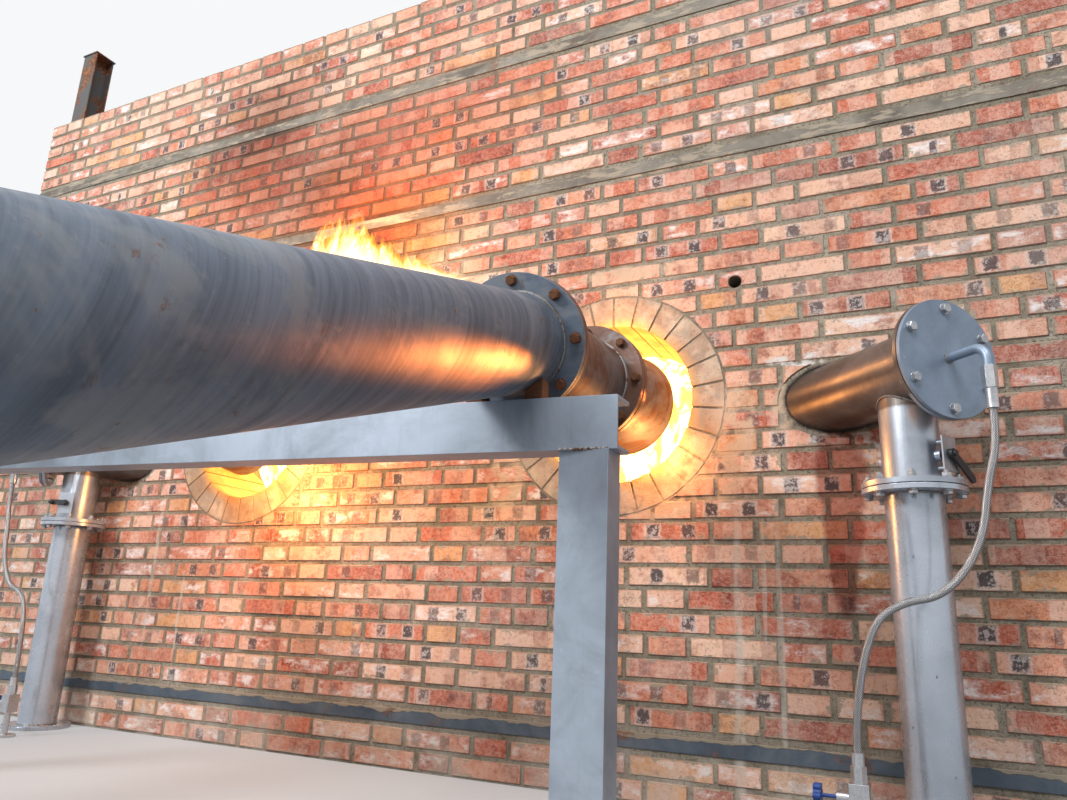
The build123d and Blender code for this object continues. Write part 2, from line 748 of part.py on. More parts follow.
    # Damper: shaft and disc in the branch, lever with its knob outside
    angle = radians(lever_angles[side])
    lever_side = (damper_way * -1).cross(up)
    lever_way = lever_side * cos(angle) + up * sin(angle)
    shaft_start = damper_point - damper_way * (riser_radius + boss_length + shaft_end)
    lever_start = damper_point + damper_way * lever_face
    lever_plane = Plane(origin=lever_start, x_dir=lever_way, z_dir=damper_way)
    disc_face = lever_side if side == "right" else up
    disc_plane = Plane(origin=damper_point, x_dir=damper_way, z_dir=disc_face)
    with BuildPart() as damper:
        with BuildSketch(across_plane(shaft_start, damper_way)):
            Circle(shaft_radius)
        extrude(amount=(lever_start - shaft_start).length + lever_thick + shaft_end)
        with BuildSketch(disc_plane):
            Circle(riser_bore - disc_gap)
        extrude(amount=disc_thick / 2, both=True)
        with BuildSketch(across_plane(lever_start - damper_way * (lever_gap - hub_gap), damper_way)):
            Circle(hub_radius)
        extrude(amount=lever_gap - hub_gap + lever_thick)
        with BuildSketch(lever_plane):
            with Locations((lever_lengths[side] / 2, 0)):
                SlotCenterToCenter(lever_lengths[side], lever_width)
        extrude(amount=lever_thick)
        if side == "left":
            with Locations(lever_start + lever_way * lever_lengths[side] + damper_way * knob_lift):
                Sphere(knob_radius)
    keep(damper.part, "damper_" + side)

# Sheets in the flanged joints of the side burners
with BuildPart() as joint_sheets:
    for side in riser_xs:
        with BuildSketch(Plane(origin=riser_point(side, riser_joint_height - joint_sheet / 2))):
            Circle(riser_bolt_circle / 2 - riser_hole_radius - hole_edge)
            Circle(riser_bore, mode=Mode.SUBTRACT)
        extrude(amount=joint_sheet)
        axis = side_axes[side]
        blind_seat = riser_point(side, side_pipe_height) - axis * side_pipe_front
        with BuildSketch(across_plane(blind_seat - axis * (joint_sheet / 2), axis)):
            Circle(blind_bolt_circle / 2 - blind_hole_radius - hole_edge)
            Circle(side_bore, mode=Mode.SUBTRACT)
        extrude(amount=joint_sheet)
keep(joint_sheets.part, "joint_sheets")
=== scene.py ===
import random
from math import cos, pi, radians, sin, sqrt, tan

import bmesh
import bpy
from mathutils import Matrix, Vector, noise


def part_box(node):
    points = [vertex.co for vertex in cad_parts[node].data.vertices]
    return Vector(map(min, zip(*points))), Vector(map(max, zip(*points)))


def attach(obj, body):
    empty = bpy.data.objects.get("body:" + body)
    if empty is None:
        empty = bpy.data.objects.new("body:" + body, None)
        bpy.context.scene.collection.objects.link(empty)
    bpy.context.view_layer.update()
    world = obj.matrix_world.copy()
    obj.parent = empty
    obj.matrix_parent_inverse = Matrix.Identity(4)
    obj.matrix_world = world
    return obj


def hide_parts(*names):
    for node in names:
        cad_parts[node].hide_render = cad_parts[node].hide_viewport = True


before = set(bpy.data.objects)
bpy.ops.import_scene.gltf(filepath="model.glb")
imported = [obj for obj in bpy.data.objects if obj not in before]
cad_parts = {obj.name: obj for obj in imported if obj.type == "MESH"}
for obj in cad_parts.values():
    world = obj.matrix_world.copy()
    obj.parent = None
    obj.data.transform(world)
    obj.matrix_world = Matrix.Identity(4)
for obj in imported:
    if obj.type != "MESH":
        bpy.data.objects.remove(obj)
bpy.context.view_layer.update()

scene = bpy.context.scene
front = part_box("front_wall")[0].y
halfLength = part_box("front_wall")[1].x
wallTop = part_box("front_wall")[1].z
print("frame loaded, front face at", round(front, 3))

# where the ports are, where each riser stands and how much lower its burner sits; inward points to the middle
ports = {"right": (0.773, 1.157), "left": (-0.773, 1.157)}
portRadius = 0.258
risers = {"right": (1.627, front - 0.181, 0.0), "left": (-1.556, front - 0.132, -0.034)}
inward = {"right": -1, "left": 1}


def addObject(name, data):
    made = bpy.data.objects.new(name, data)
    scene.collection.objects.link(made)
    return made


def asMesh(name, bm):
    mesh = bpy.data.meshes.new(name)
    bm.to_mesh(mesh)
    bm.free()
    return mesh


def takeMesh(holder):
    # the mesh that a curve or a changed block gives
    return bpy.data.meshes.new_from_object(holder.evaluated_get(bpy.context.evaluated_depsgraph_get()))


# camera where the photograph was taken
viewpoint = {"place": (1.658, -3.871, 0.480), "yaw": -26.32, "pitch": 15.12, "roll": 2.328,
             "focal": 812.93, "width": 1067, "sensor": 36.0}


def placeCamera(v):
    yaw, pitch, roll = (radians(v[k]) for k in ("yaw", "pitch", "roll"))
    ahead = Vector((sin(yaw) * cos(pitch), cos(yaw) * cos(pitch), sin(pitch)))
    right = Vector((cos(yaw), -sin(yaw), 0))
    above = right.cross(ahead)
    camX = right * cos(roll) + above * sin(roll)
    camY = above * cos(roll) - right * sin(roll)
    data = bpy.data.cameras.new("camera")
    data.sensor_width = v["sensor"]
    data.lens = v["focal"] / v["width"] * v["sensor"]
    data.clip_start = 0.05
    data.clip_end = 200
    cam = addObject("camera", data)
    turn = Matrix((camX, camY, -ahead)).transposed().to_4x4()
    cam.matrix_world = Matrix.Translation(v["place"]) @ turn
    scene.camera = cam


placeCamera(viewpoint)


# small helpers for node materials; they add to the tree that was started last
drawing = {"tree": None}


def addNode(kind, sockets=None, **settings):
    made = drawing["tree"].nodes.new("ShaderNode" + kind)
    for key, value in settings.items():
        setattr(made, key, value)
    plug(made, sockets or {})
    return made


def plug(node, sockets):
    # a colour is written as red, green and blue, and gets its alpha here
    for key, value in sockets.items():
        if isinstance(value, bpy.types.NodeSocket):
            drawing["tree"].links.new(value, node.inputs[key])
        elif node.inputs[key].type == "RGBA":
            node.inputs[key].default_value = (*value, 1)
        else:
            node.inputs[key].default_value = value


def calc(operation, first, second=0.5):
    return addNode("Math", {0: first, 1: second}, operation=operation).outputs[0]


def times(first, second):
    return calc("MULTIPLY", first, second)


def plus(first, second):
    return calc("ADD", first, second)


def minus(first, second):
    return calc("SUBTRACT", first, second)


def larger(first, second):
    return calc("MAXIMUM", first, second)


def blendColor(factor, first, second, kind="MIX"):
    made = addNode("Mix", {0: factor, 6: first, 7: second}, data_type="RGBA", blend_type=kind, clamp_result=True)
    return made.outputs[2]


def ramp(factor, stops, interpolation="LINEAR"):
    made = addNode("ValToRGB", {0: factor})
    band = made.color_ramp
    band.interpolation = interpolation
    while len(band.elements) < len(stops):
        band.elements.new(0.5)
    for element, (spot, color) in zip(band.elements, stops):
        element.position = spot
        element.color = (*color, 1)
    return made.outputs[0]


def remap(value, low, high, start, end, kind="LINEAR"):
    made = addNode("MapRange", {0: value, 1: low, 2: high, 3: start, 4: end}, interpolation_type=kind)
    return made.outputs[0]


def fade(value, low, high):
    return remap(value, low, high, 0.0, 1.0, "SMOOTHSTEP")


def stained(tone, value, low, high, color, share=1, kind="MIX"):
    # the colour comes in where the value passes from low to high
    mask = fade(value, low, high)
    if share != 1:
        mask = times(mask, share)
    return blendColor(mask, tone, color, kind)


def shaded(color, share):
    return tuple(min(1, c * share) for c in color)


def split(value):
    return addNode("SeparateXYZ", {0: value}).outputs


def dice(x, y, z):
    spot = addNode("CombineXYZ", {0: x, 1: y, 2: z})
    return addNode("TexWhiteNoise", {0: spot.outputs[0]}, noise_dimensions="3D").outputs["Value"]


def vectorCalc(operation, first, second):
    return addNode("VectorMath", {0: first, 1: second}, operation=operation).outputs[0]


def speckle(where, scale, detail=4.0, rough=0.6, distortion=0.0):
    made = addNode("TexNoise", {"Vector": where, "Scale": scale, "Detail": detail, "Roughness": rough,
                                "Distortion": distortion})
    return made.outputs[0]


def softSpot(where, centre, size):
    # 1 at the centre, 0 at the edge of an ellipsoid
    moved = addNode("Mapping", {"Vector": where, "Location": centre, "Scale": size}, vector_type="TEXTURE")
    reach = addNode("VectorMath", {0: moved.outputs[0]}, operation="LENGTH")
    return fade(reach.outputs["Value"], 1.0, 0.0)


def stretched(where, scale, turn=(0, 0, 0)):
    turned = addNode("Mapping", {"Vector": where, "Rotation": turn})
    made = addNode("Mapping", {"Vector": turned.outputs[0], "Scale": scale})
    return made.outputs[0]


def startGroup(name, ins, outs):
    tree = drawing["tree"] = bpy.data.node_groups.new(name, "ShaderNodeTree")
    for label, kind, value in ins:
        made = tree.interface.new_socket(name=label, in_out="INPUT", socket_type="NodeSocket" + kind)
        made.default_value = value
    for label, kind in outs:
        tree.interface.new_socket(name=label, in_out="OUTPUT", socket_type="NodeSocket" + kind)
    return tree, tree.nodes.new("NodeGroupInput").outputs, tree.nodes.new("NodeGroupOutput")


def useGroup(group, where, **sockets):
    return addNode("Group", {"Where": where, **sockets}, node_tree=group).outputs


def startMaterial(name, roughness, metallic=0.0):
    made = bpy.data.materials.new(name)
    made.use_nodes = True
    drawing["tree"] = made.node_tree
    shader = made.node_tree.nodes["Principled BSDF"]
    feed(shader, Metallic=metallic, Roughness=roughness)
    return made, shader, addNode("TexCoord").outputs["Object"]


def feed(node, **sockets):
    plug(node, {key.replace("_", " "): value for key, value in sockets.items()})


def bumpOf(height, strength, distance):
    made = addNode("Bump", {"Height": height, "Strength": strength, "Distance": distance})
    return made.outputs[0]


# patches on the front wall: x, z, half width, half height of each; the deep ones also reach into the ports
weather = {
    "soot": [(-0.52, 2.22, 0.66, 0.55), (-0.9, 2.58, 0.62, 0.5), (-0.25, 1.95, 0.5, 0.38)],
    "scorch": [(-0.3, 2.06, 0.8, 0.46), (0.05, 2.35, 0.8, 0.42), (-1.0, 2.3, 0.6, 0.5)],
    "wet": [(1.447, 0.9, 0.095, 0.22), (1.44, 0.66, 0.055, 0.2), (1.445, 0.75, 0.075, 0.2)],
    "drips": [(1.156, 0.45, 0.019, 0.62), (1.15, 0.18, 0.027, 0.3), (1.268, 0.42, 0.014, 0.52),
              (1.228, 0.6, 0.01, 0.26), (-1.199, 0.62, 0.014, 0.5), (-1.02, 0.4, 0.01, 0.34)],
    "cement": [(1.07, 0.93, 0.17, 0.16), (1.16, 1.06, 0.09, 0.2), (0.92, 0.83, 0.18, 0.075),
               (1.3, 1.1, 0.05, 0.1), (0.8, 1.6, 0.26, 0.035), (-0.78, 1.55, 0.26, 0.05), (0.4, 0.92, 0.1, 0.14),
               (0.15, 1.98, 0.2, 0.04), (0.95, 1.97, 0.34, 0.03)],
    "lime": [(1.46, 1.0, 0.13, 0.03), (1.53, 0.965, 0.06, 0.035), (1.36, 1.245, 0.16, 0.026)],
    # painted firelight: a warm orange tint where the flames light the wall
    "heat": [(-0.15, 0.98, 0.85, 0.34), (0.3, 0.86, 0.6, 0.3), (-0.2, 1.95, 0.6, 0.3)],
    "depth": 0.2, "deep": ("soot", "scorch", "heat"), "deepDepth": 0.5,
}


def makeWallWeather():
    tree, ins, out = startGroup("wallWeather", [("Color", "Color", (1, 1, 1, 1)), ("Where", "Vector", (0, 0, 0)),
                                                ("Bloom", "Float", 0.5)], [("Color", "Color"), ("Cement", "Float")])
    where = ins["Where"]
    wobble = addNode("TexNoise", {"Vector": where, "Scale": 9.0, "Detail": 3.0, "Roughness": 0.65})
    shift = vectorCalc("ADD", wobble.outputs["Color"], (-0.5, -0.5, -0.5))
    moved = vectorCalc("ADD", where, vectorCalc("MULTIPLY", shift, (0.16, 0.16, 0.16)))
    near = vectorCalc("ADD", where, vectorCalc("MULTIPLY", shift, (0.03, 0.03, 0.03)))

    def together(kind, coords):
        total, depth = 0.0, weather["deepDepth" if kind in weather["deep"] else "depth"]
        for x, z, wide, tall in weather[kind]:
            total = larger(softSpot(coords, (x, front, z), (wide, depth, tall)), total)
        return total

    bloom = times(fade(speckle(where, 1.7, 3.5, 0.7), 0.50, 0.74), ins["Bloom"])
    color = blendColor(bloom, ins["Color"], (0.62, 0.50, 0.43))
    cement = together("cement", near)
    cement = times(fade(cement, 0.10, 0.45), fade(speckle(where, 26.0), 0.36, 0.58))
    color = blendColor(times(cement, 0.88), color, (0.56, 0.415, 0.300))
    lime = times(fade(together("lime", near), 0.05, 0.40), fade(speckle(where, 34.0), 0.40, 0.60))
    color = blendColor(lime, color, (0.66, 0.63, 0.60))
    # scorch and soot are stains; the warm tint multiplied in with them is painted firelight
    for kind, share, shade in (("scorch", 0.75, (0.72, 0.36, 0.24)), ("heat", 0.75, (1.0, 0.72, 0.40)),
                               ("soot", 0.85, (0.36, 0.24, 0.20))):
        color = blendColor(times(together(kind, moved), share), color, shade, "MULTIPLY")
    wet = times(fade(together("wet", near), 0.05, 0.40), 0.92)
    color = blendColor(wet, color, (0.52, 0.26, 0.21), "MULTIPLY")
    drip = times(fade(together("drips", where), 0.0, 0.7),
                 fade(speckle(stretched(where, (60.0, 60.0, 9.0)), 1.0), 0.25, 0.60))
    color = blendColor(times(drip, 0.62), color, (0.56, 0.52, 0.46))
    splash = times(fade(split(where)[2], 0.28, 0.0), fade(speckle(where, 6.0), 0.35, 0.65))
    color = blendColor(times(splash, 0.55), color, (0.55, 0.50, 0.44))
    feed(out, Color=color, Cement=cement)
    return tree


def makeGrain():
    tree, ins, out = startGroup("fineGrain", [("Where", "Vector", (0, 0, 0)), ("Scale", "Float", 120.0)],
                                [("Shade", "Float"), ("Height", "Float")])
    coarse = speckle(ins["Where"], ins["Scale"], 3.0, 0.65)
    fine = speckle(ins["Where"], times(ins["Scale"], 4.0), 3.0, 0.6)
    pits = fade(fine, 0.30, 0.44)
    feed(out, Shade=plus(times(coarse, 0.6), times(fine, 0.4)), Height=times(coarse, pits))
    return tree


def makeRust():
    tree, ins, out = startGroup("rustPatches", [("Where", "Vector", (0, 0, 0)), ("Scale", "Float", 8.0),
                                                ("Amount", "Float", 0.5)], [("Mask", "Float"), ("Color", "Color")])
    big = speckle(ins["Where"], ins["Scale"], 4.5, 0.72, 0.4)
    edge = minus(1.0, ins["Amount"])
    mask = fade(big, minus(edge, 0.06), plus(edge, 0.05))
    tone = speckle(ins["Where"], times(ins["Scale"], 9.0), 3.5, 0.7)
    color = ramp(tone, [(0.25, (0.035, 0.016, 0.010)), (0.48, (0.13, 0.048, 0.020)),
                        (0.62, (0.26, 0.10, 0.036)), (0.80, (0.36, 0.19, 0.09))])
    feed(out, Mask=mask, Color=color)
    return tree


wallWeather = makeWallWeather()
fineGrain = makeGrain()
rustPatches = makeRust()


def rusted(tone, where, scale, amount, share):
    rust = useGroup(rustPatches, where, Scale=scale, Amount=amount)
    return blendColor(times(rust["Mask"], share), tone, rust["Color"])


# materials of the masonry
def makeMortar():
    made, shader, where = startMaterial("wallMortar", roughness=0.95)
    grain = useGroup(fineGrain, where, Scale=90.0)
    base = ramp(speckle(where, 7.0, 3.5, 0.7), [(0.30, (0.155, 0.130, 0.092)), (0.50, (0.265, 0.228, 0.170)),
                                                (0.72, (0.39, 0.35, 0.28))])
    base = stained(base, grain["Shade"], 0.55, 0.30, (0.085, 0.065, 0.045))
    done = useGroup(wallWeather, where, Color=base, Bloom=0.15)
    # painted shade: near-black mortar round the slanting pipes stands for the shadowed gap between pipe and wall,
    # with a ragged edge
    edge = times(minus(speckle(where, 30.0, 3.0, 0.7), 0.5), 0.10)
    paintedGapShade = 0.0
    for place in ((1.446, front, 1.120), (-1.424, front, 1.086)):
        paintedGapShade = larger(paintedGapShade, fade(plus(softSpot(where, place, (0.172, 0.3, 0.122)), edge), 0.02, 0.10))
    tone = blendColor(paintedGapShade, done["Color"], (0.012, 0.010, 0.009))
    feed(shader, Base_Color=tone, Normal=bumpOf(grain["Height"], 0.7, 0.004))
    return made


brickTones = [(0.00, (0.581, 0.182, 0.095)), (0.13, (0.673, 0.288, 0.176)), (0.26, (0.459, 0.096, 0.047)),
              (0.38, (0.745, 0.413, 0.280)), (0.51, (0.561, 0.144, 0.071)), (0.63, (0.755, 0.451, 0.314)),
              (0.74, (0.653, 0.322, 0.129)), (0.81, (0.337, 0.077, 0.045)), (0.88, (0.796, 0.528, 0.378)),
              (0.94, (0.612, 0.226, 0.107))]


def makeBrick():
    made, shader, where = startMaterial("wallBrick", roughness=0.88)
    look = addNode("Attribute", attribute_name="brickLook")
    picks = addNode("SeparateColor", {0: look.outputs["Color"]}).outputs
    halfSize = look.outputs["Alpha"]
    across = split(addNode("UVMap", uv_map="brickFace").outputs[0])
    grain = useGroup(fineGrain, where, Scale=70.0)
    offset = addNode("CombineXYZ", {0: picks[0], 1: picks[1], 2: picks[2]})
    own = vectorCalc("ADD", where, vectorCalc("MULTIPLY", offset.outputs[0], (37.0, 23.0, 51.0)))
    tone = ramp(picks[0], brickTones, "CONSTANT")
    # upright bands from the stacking in the kiln
    waver = times(minus(speckle(own, 24.0, 3.0), 0.5), 0.016)
    strip = calc("FLOOR", plus(calc("DIVIDE", plus(across[0], waver), 0.052), picks[2]))
    stripPick = dice(strip, times(picks[0], 91.0), times(picks[2], 57.0))
    tone = stained(tone, stripPick, 0.60, 0.90, (0.72, 0.49, 0.39), 0.60)
    tone = stained(tone, stripPick, 0.34, 0.06, (0.36, 0.125, 0.085), 0.55)
    cloud = speckle(own, 13.0, 3.5, 0.66)
    tone = stained(tone, cloud, 0.50, 0.70, (0.72, 0.44, 0.33), 0.55)
    tone = stained(tone, cloud, 0.48, 0.32, (0.50, 0.31, 0.28), 0.85, kind="MULTIPLY")
    tone = stained(tone, grain["Shade"], 0.42, 0.62, (0.78, 0.58, 0.48), 0.28)
    tone = stained(tone, grain["Shade"], 0.46, 0.34, (0.22, 0.07, 0.045), 0.45)
    # white lime scuffs on some bricks
    scuff = speckle(stretched(own, (13.0, 13.0, 24.0)), 1.0, 4.0, 0.72)
    low = fade(split(where)[2], 1.3, 0.5)
    keen = plus(picks[2], times(low, 0.22))
    inside = calc("MINIMUM", minus(halfSize, calc("ABSOLUTE", across[0])), minus(0.0265, calc("ABSOLUTE", across[1])))
    pale = times(fade(scuff, 0.46, 0.66), fade(keen, 0.62, 0.84))
    pale = times(pale, fade(inside, 0.001, 0.013))
    tone = blendColor(times(pale, 0.95), tone, (0.80, 0.74, 0.72))
    # dark kiln marks, one on a header and two on a stretcher, some with a white edge
    isLong = fade(halfSize, 0.075, 0.085)
    slide = times(minus(picks[0], 0.5), times(isLong, 0.055))
    along = plus(across[0], slide)
    spotX = calc("ABSOLUTE", minus(calc("ABSOLUTE", along), times(isLong, 0.054)))
    spotY = calc("ABSOLUTE", plus(across[1], times(minus(picks[2], 0.5), 0.007)))
    blot = minus(speckle(own, 75.0, 3.0, 0.7), 0.5)
    reach = larger(calc("DIVIDE", spotX, 0.0190), calc("DIVIDE", spotY, 0.0205))
    reach = plus(reach, times(blot, 1.1))
    sidePick = dice(calc("GREATER_THAN", along, 0.0), times(picks[2], 77.0), times(picks[0], 33.0))
    marked = times(fade(picks[1], 0.79, 0.80), fade(sidePick, 0.08, 0.70))
    edge = times(fade(reach, 1.50, 1.15), fade(plus(sidePick, times(blot, 1.5)), 0.55, 0.75))
    tone = blendColor(times(times(edge, marked), 0.55), tone, (0.72, 0.66, 0.62))
    brown = times(fade(reach, 1.25, 0.85), marked)
    tone = blendColor(times(brown, 0.5), tone, (0.20, 0.10, 0.08))
    spot = times(fade(reach, 1.00, 0.80), marked)
    tone = blendColor(times(spot, 0.92), tone, (0.050, 0.044, 0.050))
    flakes = speckle(own, 62.0, 3.5, 0.75)
    fleck = times(fade(plus(flakes, times(sidePick, 0.12)), 0.62, 0.67), spot)
    tone = blendColor(times(fleck, 0.60), tone, (0.66, 0.60, 0.58))
    # painted shade darkens the brick rims, and mortar is smeared over ragged edges
    ragged = times(fade(speckle(own, 22.0, 3.5, 0.75), 0.46, 0.80), 0.022)
    smear = fade(minus(inside, ragged), 0.0030, -0.0015)
    # painted shade: darker close to every brick edge
    tone = stained(tone, inside, 0.0050, 0.0005, (0.42, 0.30, 0.25), kind="MULTIPLY")
    tone = blendColor(times(smear, 0.85), tone, (0.33, 0.275, 0.205))
    done = useGroup(wallWeather, where, Color=tone, Bloom=0.22)
    feed(shader, Base_Color=done["Color"], Normal=bumpOf(grain["Height"], 0.85, 0.0025))
    return made


def makeFireBrick(name, base, dark, hot=None):
    made, shader, where = startMaterial(name, roughness=0.93)
    grain = useGroup(fineGrain, where, Scale=60.0)
    tone = ramp(speckle(where, 6.0, 3.5, 0.68, 0.3), [(0.32, dark), (0.52, base), (0.72, (0.64, 0.56, 0.44))])
    tone = stained(tone, grain["Shade"], 0.44, 0.32, (0.20, 0.14, 0.09))
    stain = fade(speckle(where, 9.0, 4.0, 0.72, 0.8), 0.50, 0.64)
    tone = blendColor(times(stain, 0.55), tone, (0.24, 0.165, 0.12))
    tone = stained(tone, speckle(where, 15.0, 3.0), 0.50, 0.66, (0.33, 0.30, 0.25), 0.7)
    if hot:
        centreX, centreZ, radius = *hot, portRadius
        parts = split(where)
        dx = minus(parts[0], centreX)
        dz = minus(parts[2], centreZ)
        reach = calc("SQRT", plus(times(dx, dx), times(dz, dz)))
        # painted firelight: an orange rim on the stones round the port mouth
        firelitRim = fade(reach, radius + 0.040, radius - 0.002)
        tone = blendColor(times(firelitRim, 0.55), tone, (0.78, 0.42, 0.11))
        # painted firelight: the bore near the mouth glows orange to yellow, brightest towards the lower right
        inside = times(fade(reach, radius + 0.010, radius - 0.001), fade(parts[1], front - 0.004, front + 0.055))
        flicker = fade(speckle(where, 13.0, 3.0), 0.34, 0.66)
        glow = blendColor(flicker, (0.48, 0.10, 0.006), (0.95, 0.42, 0.05))
        brightestFirelight = softSpot(where, (centreX + 0.18, front + 0.16, centreZ - 0.20), (0.28, 0.34, 0.26))
        glow = stained(glow, brightestFirelight, 0.0, 0.55, (1.0, 0.80, 0.42))
        glow = blendColor(inside, (0, 0, 0), glow)
        feed(shader, Emission_Color=glow, Emission_Strength=1.05)
    done = useGroup(wallWeather, where, Color=tone, Bloom=0.10)
    feed(shader, Base_Color=done["Color"], Normal=bumpOf(grain["Height"], 0.7, 0.003))
    made.cycles.emission_sampling = "NONE"
    return made


def makeRoofScreed():
    made, shader, where = startMaterial("roofScreed", roughness=0.97)
    grain = useGroup(fineGrain, where, Scale=22.0)
    tone = ramp(speckle(where, 1.3, 4.5, 0.72, 0.5), [(0.32, (0.16, 0.14, 0.12)), (0.50, (0.30, 0.27, 0.23)),
                                                      (0.68, (0.42, 0.38, 0.32))])
    tone = stained(tone, speckle(where, 3.4, 5.0, 0.7, 1.2), 0.485, 0.50, (0.36, 0.33, 0.29))
    tone = stained(tone, grain["Shade"], 0.46, 0.34, (0.10, 0.085, 0.07))
    feed(shader, Base_Color=tone, Normal=bumpOf(grain["Height"], 0.8, 0.008))
    return made


def makeLining():
    made, shader, where = startMaterial("insideLining", roughness=0.95)
    spun = addNode("Mapping", {"Vector": where, "Rotation": (radians(90), 0, 0)})
    laid = addNode("TexBrick", {"Vector": spun.outputs[0], "Color1": (0.42, 0.27, 0.15),
                                "Color2": (0.52, 0.35, 0.20), "Mortar": (0.16, 0.11, 0.07), "Scale": 1.0,
                                "Mortar Size": 0.003, "Brick Width": 0.233, "Row Height": 0.068})
    grain = useGroup(fineGrain, where, Scale=50.0)
    tone = blendColor(fade(speckle(where, 2.5, 3.5, 0.7), 0.36, 0.62), laid.outputs[0], (0.13, 0.075, 0.05))
    height = minus(grain["Height"], laid.outputs[1])
    feed(shader, Base_Color=tone, Normal=bumpOf(height, 0.8, 0.004))
    return made


# materials of the steelwork
def makePipeSteel(name, turn, base=(0.130, 0.162, 0.212)):
    made, shader, where = startMaterial(name, metallic=0.45, roughness=0.50)
    rings = stretched(where, (3.0, 3.0, 60.0), turn)
    broad = stretched(where, (1.6, 1.6, 14.0), turn)
    cloud = speckle(where, 7.0, 4.0, 0.68, 0.4)
    streak = speckle(rings, 1.0, 3.5, 0.7, 0.25)
    wide = speckle(broad, 1.0, 3.0, 0.6, 0.4)
    shade = plus(times(streak, 0.50), times(wide, 0.50))
    tone = ramp(shade, [(0.36, shaded(base, 0.62)), (0.50, base), (0.66, shaded(base, 1.42))])
    tone = stained(tone, cloud, 0.47, 0.62, (0.25, 0.265, 0.28), 0.55)
    tone = stained(tone, speckle(where, 38.0, 3.5, 0.75), 0.60, 0.74, (0.29, 0.29, 0.29), 0.45)
    tone = rusted(tone, where, 26.0, 0.325, 0.75)
    rough = remap(shade, 0.35, 0.65, 0.62, 0.42)
    grain = useGroup(fineGrain, where, Scale=160.0)
    height = plus(times(streak, 0.5), times(grain["Height"], 0.5))
    feed(shader, Base_Color=tone, Roughness=rough, Normal=bumpOf(height, 0.30, 0.0012))
    return made


def makeSilver(name, base):
    # bright silver paint, hardly marked
    made, shader, where = startMaterial(name, metallic=0.62, roughness=0.27)
    cloud = speckle(where, 5.0, 3.5, 0.65, 0.4)
    tone = ramp(cloud, [(0.34, shaded(base, 0.88)), (0.66, shaded(base, 1.10))])
    marks = fade(speckle(where, 38.0, 3.0, 0.7), 0.69, 0.74)
    tone = blendColor(times(marks, 0.7), tone, (0.10, 0.08, 0.065))
    rough = remap(speckle(where, 16.0, 3.0), 0.30, 0.70, 0.21, 0.32)
    grain = useGroup(fineGrain, where, Scale=90.0)
    feed(shader, Base_Color=tone, Roughness=rough, Normal=bumpOf(grain["Height"], 0.10, 0.0006))
    return made


def makeSideSteel(name, base, branchTop, wallMouth):
    # silver paint on the branch, browner bare steel on the slanting pipe
    made, shader, where = startMaterial(name, metallic=0.8, roughness=0.30)
    cloud = speckle(where, 8.0, 4.0, 0.7, 0.5)
    pipePart = fade(split(where)[2], branchTop - 0.004, branchTop + 0.006)
    bare = ramp(cloud, [(0.34, (0.120, 0.100, 0.088)), (0.50, (0.185, 0.160, 0.143)),
                        (0.66, (0.26, 0.230, 0.212))])
    paint = ramp(cloud, [(0.34, shaded(base, 0.80)), (0.50, base), (0.66, shaded(base, 1.20))])
    tone = blendColor(pipePart, paint, bare)
    burnt = softSpot(where, wallMouth, (0.30, 0.30, 0.26))
    tone = blendColor(times(burnt, 0.8), tone, (0.075, 0.055, 0.046))
    tone = rusted(tone, where, 34.0, 0.28, 0.7)
    rough = remap(cloud, 0.30, 0.70, 0.40, 0.28)
    grain = useGroup(fineGrain, where, Scale=130.0)
    feed(shader, Base_Color=tone, Roughness=rough, Normal=bumpOf(grain["Height"], 0.12, 0.0006))
    return made


def makePaint(name, base, roughness, metallic, rustShare, dirt=None, rustScale=16.0):
    made, shader, where = startMaterial(name, metallic=metallic, roughness=roughness)
    grain = useGroup(fineGrain, where, Scale=110.0)
    cloud = speckle(where, 5.0, 4.0, 0.7, 0.5)
    tone = ramp(cloud, [(0.34, shaded(base, 0.80)), (0.50, base), (0.64, shaded(base, 1.15))])
    if dirt:
        runs = speckle(stretched(where, (70.0, 70.0, 2.2)), 1.0, 3.0, 0.65, 0.2)
        tone = blendColor(times(fade(runs, 0.56, 0.72), dirt), tone, shaded(base, 0.45))
    flecks = fade(speckle(where, 85.0, 3.0, 0.7), 0.655, 0.70)
    tone = blendColor(times(flecks, 0.25), tone, (0.62, 0.61, 0.58))
    rust = useGroup(rustPatches, where, Scale=rustScale, Amount=rustShare)
    tone = blendColor(rust["Mask"], tone, rust["Color"])
    rough = remap(rust["Mask"], 0.0, 1.0, roughness, 0.9)
    height = plus(times(grain["Height"], 0.5), times(rust["Mask"], -0.4))
    feed(shader, Base_Color=tone, Roughness=rough, Normal=bumpOf(height, 0.35, 0.0012))
    return made


def makeRusty(name, amount, base, scale, roughness=0.85):
    made, shader, where = startMaterial(name, metallic=0.15, roughness=roughness)
    rust = useGroup(rustPatches, where, Scale=scale, Amount=amount)
    grain = useGroup(fineGrain, where, Scale=180.0)
    tone = blendColor(rust["Mask"], base, rust["Color"])
    feed(shader, Base_Color=tone, Normal=bumpOf(grain["Height"], 0.6, 0.0015))
    return made


